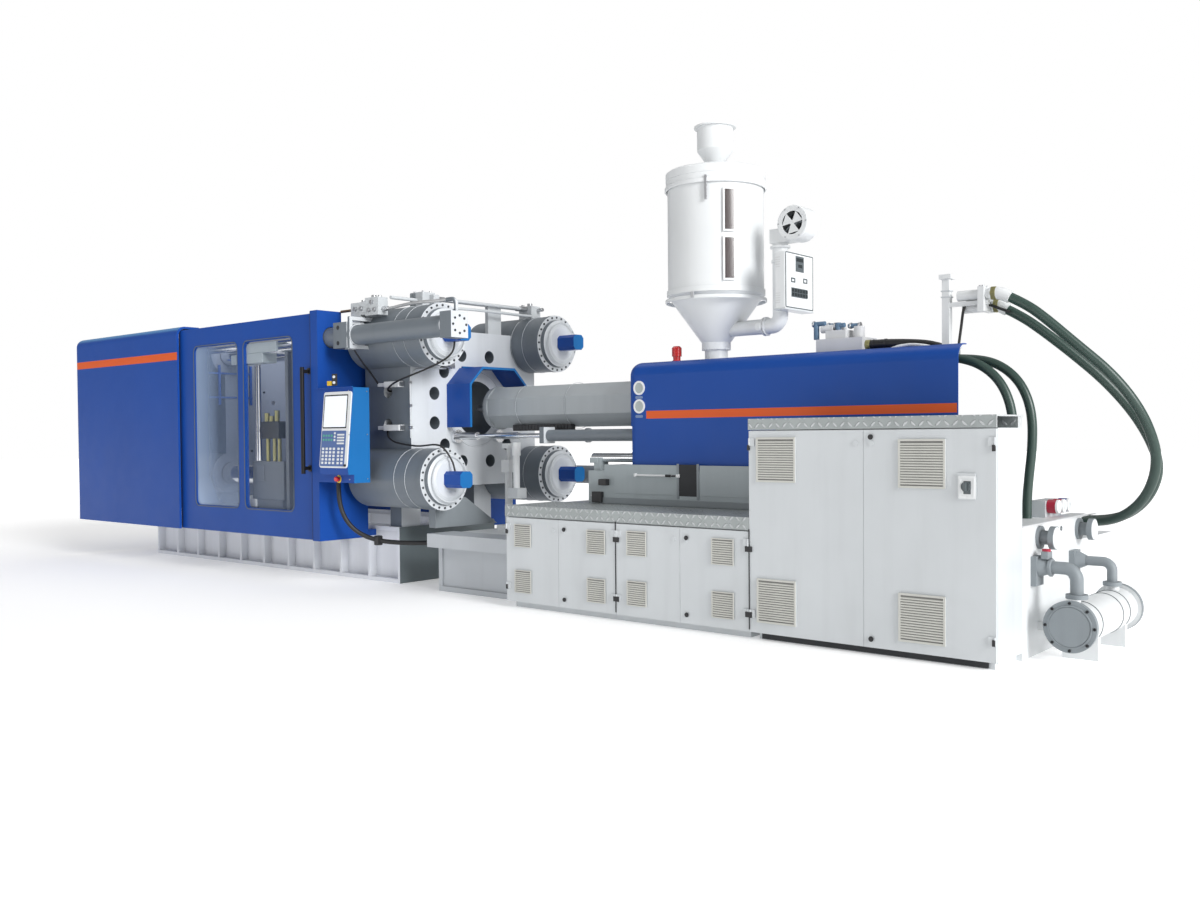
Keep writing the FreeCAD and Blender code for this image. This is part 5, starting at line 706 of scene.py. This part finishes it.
# Holes on the bracket are dark discs, painted shade.
piece("bracket_holes", [rod("Y", 120, z, (-1041.5, -1038), 17) for z in (1920, 2040)], gloom, "machine")
piece("bracket_plate", [window_frame("X", (-1036, -800), (1872, 2120), 8, 30, (238, 262)),
    block((200, 240), (-1036, -960), (1866, 1882))], platen_paint, "machine", 2)
piece("valve_box_face", [block((400, 470), (-553, -425), (2222, 2322))], cast_grey, "machine", 2)
piece("valve_box_studs", [bolt("Z", x, y, 2327, 9, 12) for x in (425, 525) for y in (-525, -450)], steel,
    "machine")
piece("manifold_ports", [rod("Y", x, z, (-916, -899), 17) for x, z in ((160, 2190), (235, 2190), (330, 2170),
    (400, 2170), (365, 2230))], steel, "machine", 2)
piece("manifold_cap", [rod("Z", 200, -852, (2240, 2262), 16), rod("Z", 330, -852, (2268, 2290), 20),
                       rod("Z", 400, -852, (2268, 2284), 14)], steel, "machine", 2)
piece("guard_pipe", [rod("X", -872, 2190, (-60, 101), 11)], brass, "machine")
piece("hose_collars", [rod("X", -850, 2175, (439, 500), 18), rod("X", -850, 2175, (444, 470), 22, 6)], steel,
    "machine", 1)
piece("braid_collars", [rod("Y", x, 2277, span, 19) for x in (536, 580)
    for span in ((-421, -350), (500, 578))], steel, "machine", 1)
piece("end_valves", [rod("Z", 565, 640, (2300, 2330), 22), rod("X", 660, 2270, (638, 700), 16),
                     rod("Z", 520, 600, (2300, 2318), 14)], steel, "machine", 1.5)
piece("low_pipe", [tube([(650, -380, 2205), (652, -100, 2212), (650, 180, 2212), (645, 420, 2210),
    (640, 580, 2212)], 12)], light_paint, "machine")

# ---------------------------------------------------------------- purge hood, nozzle side and carriage
# The hood rim faces +X and is painted in the lit blue, as light from that side.
piece("hood_rim", [extrude("X", [(-318, 1262), (-318, 1605), (-180, 1741), (180, 1741), (318, 1605),
    (318, 1262), (300, 1262), (300, 1598), (173, 1723), (-173, 1723), (-300, 1598), (-300, 1262)],
    (827, 833))], lit_blue_enamel, "hood")
piece("side_rails", [block((-2100, -2084), (-895, -414), (z, z + 18)) for z in (1560, 1783)]
      + [block((-2100, -2082), (y, y + 24), (1500, 1868)) for y in (-767, -442)], plain_enamel, "clamp", 2)

# ---------------------------------------------------------------- behind the window
piece("inner_posts", [rod("Z", x, -930, (488, 1830), 15) for x in (-1196, -1155)], chrome, "machine")
piece("inner_plate", [block((-1402, -921), (-1045, -905), (1822, 1905)),
    block((-1263, -720), (-1045, -1021), (1905, 1990))], frame_grey, "machine", 4)
piece("inner_block", [block((-1190, -722), (-985, -905), (668, 992)),
    block((-1150, -760), (-975, -915), (488, 670)), block((-1120, -1000), (-992, -984), (820, 960))],
    inner_grey, "machine", 5)
piece("inner_valve", [block((-1052, -790), (-985, -915), (1183, 1328)),
    rod("X", -950, 1255, (-1090, -1050), 30)], black, "machine", 4)
piece("inner_valve_parts", [rod("Z", x, -950, (1328, z), 22) for x,
    z in ((-1010, 1400), (-940, 1375), (-860, 1420))] + [rod("Z", x, -950, (990, 1184), 17)
    for x in (-1000, -900, -830)], olive, "machine", 2)
piece("inner_pump", [block((-1262, -1140), (-990, -920), (600, 668)),
    block((-1420, -1262), (-985, -915), (560, 690))], bright, "machine", 4)
piece("inner_pump_base", [block((-1430, -1120), (-995, -905), (488, 602))], black, "machine", 4)
piece("inner_column", [block((-688, -645), (-985, -905), (488, 1905))], inner_grey, "machine", 4)

# ---------------------------------------------------------------- injection cover, barrel and frame
piece("porthole_rims", [ring("Y", 2500, z, [(-292, 36), (-292, 49), (-284, 49), (-284, 36)])
    for z in (1512, 1386)], bright, "carriage", 1)
piece("porthole_glass", [rod("Y", 2500, z, (-289, -285), 37, 40) for z in (1512, 1386)], gauge_face,
    "carriage")
piece("porthole_bars", [extrude("Y", soft((2466, 2530), (z, z + 19), 8), (-288.5, -285))
    for z in (1438, 1307)], tag_blue, "carriage", 0.5)
piece("frame_panels", [extrude("Y", [(2218, 985), (2218, 900), (2305, 900), (2305, 785), (2850, 785),
    (2850, 985)], (-333, -329)), block((3034, 4600), (-333, -329), (785, 985))], frame_grey, "machine", 1)
# The gap between the frame panels is a dark sheet, painted shade.
piece("frame_gap", [block((2868, 3012), (-331.5, -329), (780, 990))], gloom, "machine")
piece("frame_sill", [block((2170, 4630), (-338, -328), (712, 752)),
    block((2850, 2866), (-337, -329), (760, 995)), block((3012, 3028), (-337, -329), (760, 995))], cast_grey,
    "machine", 1.5)
piece("transducer", [rod("X", -342, 914, (2500, 2868), 7), block((2496, 2512), (-352, -330), (904, 926)),
                     block((2856, 2872), (-352, -330), (904, 926))], bright, "machine", 1)
piece("transducer_head", [rod("X", -350, 914, (2770, 2812), 9), rod("X", -350, 914, (2820, 2850), 6)], black,
    "machine")
piece("frame_stops", [block((2192, 2262), (-372, -330), (838, 882)),
    block((2120, 2206), (-360, -250), (716, 792))], black, "machine", 4)
piece("stop_screws", [rod("X", -350, 860, (2176, 2194), 9), rod("X", -330, 762, (2096, 2122), 12)], steel,
    "machine", 1)
piece("frame_lugs", [block((2030, 2102), (-275, -160), (992, 1030))], frame_grey, "machine", 3)
piece("barrel_seams", [ring("X", 0, AXIS, [(x, 172), (x, 174.5), (x + 4, 174.5), (x + 4, 172)], 64)
    for x in (1180, 1690)], platen_paint, "carriage")
piece("chain_links", [block((x, x + 30), (-128, -72), (1228, 1276)) for x in range(1110, 1690, 34)], black,
    "carriage", 4)
# A dark band behind the chain links, painted as the shade between them.
piece("chain_band", [block((1106, 1700), (-120, -80), (1240, 1264))], gloom, "carriage")
piece("rod_flange", [block((1550, 1598), (-292, -168), (1132, 1254))], platen_paint, "carriage", 5)
piece("rod_sleeve", [rod("X", -230, 1193, (PLATEN_BACK, 822), 30),
    rod("X", -230, 1193, (PLATEN_BACK, 575), 48)], steel, "machine", 2)
piece("stay_posts", [rod("Z", 1108, -90, (776, 1139), 26), rod("Z", 1108, -90, (1034, 1139), 34)], bright,
    "machine", 2)
piece("stay_foot", [block((1062, 1170), (-140, -40), (700, 781))], light_paint, "machine", 3)


# ---------------------------------------------------------------- hopper, dryer and valves
def on_drum(low, high, z, out=3.0, steps=10):
    """Curved plate on the hopper drum: r from the drum's face outwards, angle from +X towards -Y, height z."""
    turn = np.radians(np.linspace(low, high, steps + 1))
    turn = np.concatenate([turn, turn[::-1]])
    r = np.repeat([DRUM_RADIUS, DRUM_RADIUS + out], steps + 1)
    return extrude("Z", np.stack([DRUM_X + r * np.cos(turn), -r * np.sin(turn)], axis=1), z)


piece("sight_rims", [on_drum(33, 47.5, (z - 12, h + 12), out=4) for z, h in ((2522, 2782), (2205, 2468))],
    bright, "carriage", 0.8)
piece("sight_glass", [on_drum(35, 45.4, span, out=5.2) for span in ((2522, 2782), (2205, 2468))], sight_brown,
    "carriage")
piece("drum_bands", [ring("Z", DRUM_X, 0, [(z, 334), (z, 341), (z + 4, 344), (z + h - 4, 344), (z + h, 341),
    (z + h, 334)], 96) for z, h in ((2833, 29), (2079, 24))], white_paint, "carriage")
piece("lid_clamps", [on_drum(a - 1.5, a + 1.5, (2716, 2876), out=14) for a in (66, -66, 186)], steel,
    "carriage", 2)
piece("drum_latch", [on_drum(80, 84, (2085, 2125), out=16)], steel, "carriage", 2)
piece("panel_face", [extrude("X", soft((-164, 164), (1996, 2334), 6), (3590.5, 3592.5))], bright, "carriage")
piece("panel_rim", [window_frame("X", (-171, 171), (1989, 2341), 8, 6, (3590.5, 3593.2))], slate, "carriage")
piece("panel_parts", [block((3592, 3594.5), (-50, 52), (2225, 2325)),
    block((3592, 3594), (-104, 98), (2060, 2120)),
    window_frame("X", (-108, -58), (2152, 2182), 4, 8, (3592, 3596)),
    window_frame("X", (44, 94), (2158, 2190), 4, 8, (3592, 3596))], slate, "carriage", 0.6)
piece("panel_screens", [block((3594, 3595.3), (-42, 44), (2290, 2313)),
    block((3594, 3595.3), (-18, 30), (2252, 2272))] + [block((3593.5, 3595), (-98 + 34 * k, -70 + 34 * k),
    (2066 + 26 * j, 2088 + 26 * j)) for k in range(6) for j in range(2)], dark_glass, "carriage")
vents = []
for base in (2018, 2245):
    for k in range(5):
        vents.append(extrude("Y", soft((3520, 3556), (base + 15 * k, base + 15 * k + 6), 2.8),
            (-176.5, -173.5)))
piece("box_vents", vents, pale_grey, "carriage", 0.5)
piece("box_lip", [block((3508, 3593), (-176, 176), (1976, 1984))], light_paint, "carriage", 1)
piece("riser_rings", [ring("Z", 3450, 0, [(2394, 48), (2394, 66), (2408, 66), (2408, 48)]), ring("Z", 3450, 0,
    [(2300, 48), (2300, 57), (2318, 57), (2318, 48)])], white_paint, "carriage", 1)
piece("duct_collars", [ring("X", 0, 1895, [(x, 48), (x, 62), (x + 10, 62), (x + 10, 48)])
    for x in (3330, 3344)], white_paint, "carriage", 1)
piece("duct_disc", [rod("Y", 3316, 1893, (-62, -48), 26), rod("Y", 3316, 1893, (-66, -60), 18)], bright,
    "carriage", 2)
rotor = [ring("Y", *BLOWER, [(-75, 74), (-75, 106), (-69, 112), (-69, 74)], 64)]
for k in range(3):
    a = math.radians(30 + 120 * k)
    wedge = [(BLOWER[0] + r * math.cos(a + t), BLOWER[1] + r * math.sin(a + t)) for r, t in
             ((13, -0.9), (76, -0.42), (76, 0.72), (13, 0.9))]
    rotor.append(extrude("Y", wedge, (-74, -69)))
piece("blower_front", rotor, white_paint, "carriage", 1)
piece("blower_bolts", bolt_ring("Y", *BLOWER, -75, 101, 6, 5, -4), steel, "carriage")
piece("blower_hub", [rod("Y", *BLOWER, (-76, -70), 16)], white_paint, "carriage", 1)
piece("valve_tops", [rod("X", y, z, (x, x + 76), 15) for x, y, z in ((3668, 60, 1890), (3730, 120, 1880),
    (3800, 70, 1872), (3880, 110, 1868))] + [rod("Z", x, y, (1790, 1890), 18) for x,
    y in ((3680, 60), (3752, 120), (3830, 70))], valve_blue, "carriage", 2)
piece("valve_caps", [rod("X", y, z, (x, x + 14), 20) for x, y, z in ((3655, 60, 1890), (3728, 120, 1880),
    (3800, 70, 1872), (3890, 110, 1868), (3952, 110, 1868))], steel, "carriage", 2)
piece("port_fitting", [rod("X", *OIL_PIPE, (3928, 3956), 36, 6), rod("X", *OIL_PIPE, (3956, 3990), 26),
                       rod("X", *OIL_PIPE, (3990, 4060), 30)], olive, "carriage", 2)
piece("cover_hose", [tube([(4055, 60, 1738), (4160, 60, 1738), (4300, 58, 1730), (4420, 56, 1716),
    (4520, 52, 1690)], 28)], rubber, "carriage")
piece("hose_rings", [rod("X", *OIL_PIPE, (x, x + 8), 30) for x in (4075, 4150, 4158)], black, "carriage", 1)
piece("white_bundle", [tube([(4240, -60 + 16 * k, 1690), (4290, -60 + 18 * k, 1703 + 5 * (k % 2)),
    (4360, -56 + 14 * k, 1712), (4440, -60 + 16 * k, 1705), (4500, -60 + 16 * k, 1690)], 9)
    for k in range(4)], bright, "carriage")
piece("post_straps", [block((4544, 4600), (-26, 26), (z, z + 8)) for z in (1975, 2010)], light_paint,
    "carriage", 1)
piece("hose_ferrules", [rod("X", y, z, (x, x + 28), 42, 6) for x, y,
    z in ((4838, 0, 1978), (4822, 82, 1914))], olive, "carriage", 2)
piece("pipe_clamp_screws", [bolt("Z", x, y, 2020, 7, 8) for x in (4779, 4797) for y in (-30, 35, 105)], steel,
    "carriage")
piece("post_cable", [tube([(4625, 40, 1694), (4640, 40, 1800), (4657, 40, 1910), (4689, 40, 1951),
    (4780, 40, 1930), (4925, 40, 1868)], 8)], rubber, "carriage")
piece("stem_ring", [ring("Z", 2655, 0, [(1692, 20), (1692, 36), (1704, 34), (1704, 20)])], light_paint,
    "carriage", 1)


# ---------------------------------------------------------------- cabinets
def grille(left, bottom, side, count):
    """Square filter grille on a door: a thin rim and sloping blades in front of a dark sheet of painted shade.
    """
    rim = window_frame("Y", (left, left + side), (bottom, bottom + side), 4, side * 0.045, (-857.5, -853))
    blades = []
    low, high = bottom + side * 0.07, bottom + side * 0.93
    step = (high - low) / count
    for k in range(count):
        z = low + step * k
        blades.append(extrude("X", [(-853, z), (-857, z + step * 0.12), (-857, z + step * 0.56),
            (-853, z + step * 0.78)], (left + side * 0.045, left + side * 0.955)))
    return [rim] + blades


low_grilles = {"low_leaf_1": (1841, (426, 111)), "low_leaf_2": (2502, (421, 106)),
    "low_leaf_3": (2837, (430, 115)), "low_leaf_4": (3485, (420, 105)), "tall_leaf_1": (3800, (915, 108)),
    "tall_leaf_2": (4668, (903, 100))}
for body, (left, bottoms) in low_grilles.items():
    side, count = (255, 16) if body.startswith("tall") else (157, 10)
    shapes, shade_sheets = [], []
    for bottom in bottoms:
        shapes += grille(left, bottom, side, count)
        # A dark sheet behind the blades, painted as the shade between them.
        shade_sheets.append(block((left + 6, left + side - 6), (-853.8, -852.5), (bottom + 6, bottom + side - 6)))
    piece(body + "_grilles", shapes, cream, body)
    piece(body + "_shade_sheets", shade_sheets, grille_shade, body)
for body, places in {"low_leaf_2": ((2302, 566), (2302, 100)), "low_leaf_4": ((3301, 566), (3301, 100)),
                     "tall_leaf_2": ((4511, 1169), (4511, 92))}.items():
    piece(body + "_locks", [rod("Y", x, z, (-857, -852.5), 14.5) for x, z in places]
          + [rod("Y", x, z, (-859, -856), 9) for x, z in places], black, body, 1)
hinge_blocks = [block((x, x + w), (-860, -848), (z - 16, z + 16)) for x, w, z in ((2728, 44, 525),
    (2728, 44, 146), (3722, 44, 525), (3722, 44, 146), (1758, 14, 530), (1758, 14, 145), (5162, 16, 1111),
    (5162, 16, 146), (3740, 14, 1111))]
piece("hinge_blocks", hinge_blocks, black, "machine", 2)
piece("switch_plate", [extrude("Y", soft((4990, 5082), (857, 972), 6), (-857, -852.5)),
    window_frame("Y", (4996, 5076), (863, 966), 5, 9, (-859, -856))], bright, "tall_leaf_2", 1)
piece("switch_ground", [block((5018, 5056), (-858, -856.5), (880, 946))], slate, "tall_leaf_2", 1)
piece("door_seams", [block((x, x + 6), (-853, -850), (60, 640)) for x in (2741, 3743)], gloom, "machine")
# A dark slab under the cabinets, painted as the shade beneath them.
piece("plinth_gap", [block((3800, 5120), (-800, -500), (6, 40))], gloom, "machine")

# ---------------------------------------------------------------- tank end
piece("cooler_discs", [ring("Y", *COOLER, [(-428, 100), (-434, 104), (-434, 110), (-428, 112)], 64),
                       rod("Y", *COOLER, (-433, -426), 101, 64)], cast_grey, "machine")
piece("cooler_rims", [ring("Y", *COOLER, [(side * 428.5 + shift, 104), (side * 428.5 + shift, 133.5),
    (side * 398 + shift, 133.5), (side * 398 + shift, 131.5), (side * 426.5 + shift, 131.5),
    (side * 426.5 + shift, 104)][::-side], 64) for side, shift in ((-1, 0), (1, 6))], cast_grey, "machine")
piece("cooler_bolts", bolt_ring("Y", *COOLER, -427, 122, 8, 8, -7)
    + bolt_ring("Y", *COOLER, 433, 122, 8, 8, 7), gloom, "machine")
piece("cooler_rings", [ring("Y", *COOLER, [(y, 108), (y, 113), (y + 5, 113), (y + 5, 108)], 64)
    for y in (-250, 120, 250)], slate, "machine")
piece("spool_faces", [rod("X", y, 625, (5269, 5273), 58, 40) for y in (-235, 421)], bright, "machine", 1)
socket_places = ((215, socket_red), (305, socket_red), (395, socket_blue))
for number, (y, shade) in enumerate(socket_places, 1):
    piece("socket_cap_%d" % number, [rod("X", y, 762, (5080, 5130), 39.5, 40)], shade, "machine", 2)
piece("socket_lids", [ring("X", y, 762, [(5128, 20), (5128, 40), (5142, 38), (5142, 20)], 40)
    for y in (215, 305, 395)], bright, "machine", 2)
piece("filter_cap", [rod("X", -310, 477, (5258, 5276), 50, 8), block((5225, 5262), (-345, -275), (520, 560))],
    cast_grey, "machine", 3)
piece("filter_marks", [rod("Z", 5243, -310, (558, 572), 22)], socket_red, "machine", 1)
piece("tank_eyes", [ring("X", y, 648, [(5179, 8), (5179, 14), (5183, 14), (5183, 8)], 20)
    for y in (-60, 0, 60, 120)], slate, "machine")
piece("tank_lip", [block((5181, 5184), (-486, 1090), (690, 699))], pale_grey, "machine", 1)

# ---------------------------------------------------------------- floor and light
floor_mesh = bpy.data.meshes.new("floor")
floor_mesh.from_pydata([(-60, -60, 0), (60, -60, 0), (60, 60, 0), (-60, 60, 0)], [], [(0, 1, 2, 3)])
floor_item, floor_tree, floor_shader = new_material("floor")
floor_shader.inputs["Base Color"].default_value = (0.92, 0.92, 0.92, 1)
floor_shader.inputs["Roughness"].default_value = 0.8
floor_shader.inputs["Emission Color"].default_value = (1, 1, 1, 1)
# The floor glows more with distance from the middle, so that it fades into the white background.
reach = add(floor_tree, "ShaderNodeVectorMath", {0: add(floor_tree, "ShaderNodeTexCoord").outputs["Object"]},
            operation="LENGTH").outputs["Value"]
floor_tree.links.new(spread(floor_tree, reach, 4.0, 18.0, 0.30, 0.9),
    floor_shader.inputs["Emission Strength"])
floor_mesh.materials.append(floor_item)
floor = bpy.data.objects.new("floor", floor_mesh)
scene.collection.objects.link(floor)


def lamp(name, place, target, size, power):
    """Rectangular studio lamp aimed at a point."""
    light = bpy.data.lights.new(name, "AREA")
    light.shape = "RECTANGLE"
    light.size, light.size_y = size
    light.energy = power
    item = bpy.data.objects.new(name, light)
    item.location = place
    aim = Vector(target) - Vector(place)
    item.rotation_euler = aim.to_track_quat("-Z", "Y").to_euler()
    scene.collection.objects.link(item)


lamp("key", (2.0, -9.5, 7.0), (0.8, 0, 1.0), (10, 5), 70)
lamp("side", (12.5, -1.0, 5.0), (3.0, 0, 1.2), (6, 6), 240)
lamp("low", (-2.0, -10.0, 1.4), (0.5, 0, 0.7), (10, 2.2), 95)
lamp("top", (0.5, 1.5, 9.0), (0.5, 0, 0), (12, 5), 220)
sun = bpy.data.lights.new("far side", "SUN")
sun.energy = 2.4
sun.angle = math.radians(24)
far_side = bpy.data.objects.new("far side", sun)
far_side.rotation_euler = Vector((-1.0, 0.18, -0.36)).to_track_quat("-Z", "Y").to_euler()
scene.collection.objects.link(far_side)

world = bpy.data.worlds.new("studio")
world.use_nodes = True
backdrop = world.node_tree.nodes["Background"]
backdrop.inputs[0].default_value = (1.0, 1.0, 1.0, 1)
# The camera sees a white world, and the machine is lit by a much dimmer one.
WORLD_SEEN, WORLD_LIT = 1.0, 0.28
seen = add(world.node_tree, "ShaderNodeLightPath").outputs["Is Camera Ray"]
world.node_tree.links.new(calc(world.node_tree, "MULTIPLY_ADD", seen, WORLD_SEEN - WORLD_LIT, WORLD_LIT),
    backdrop.inputs[1])
scene.world = world

scene.view_settings.view_transform = "Standard"
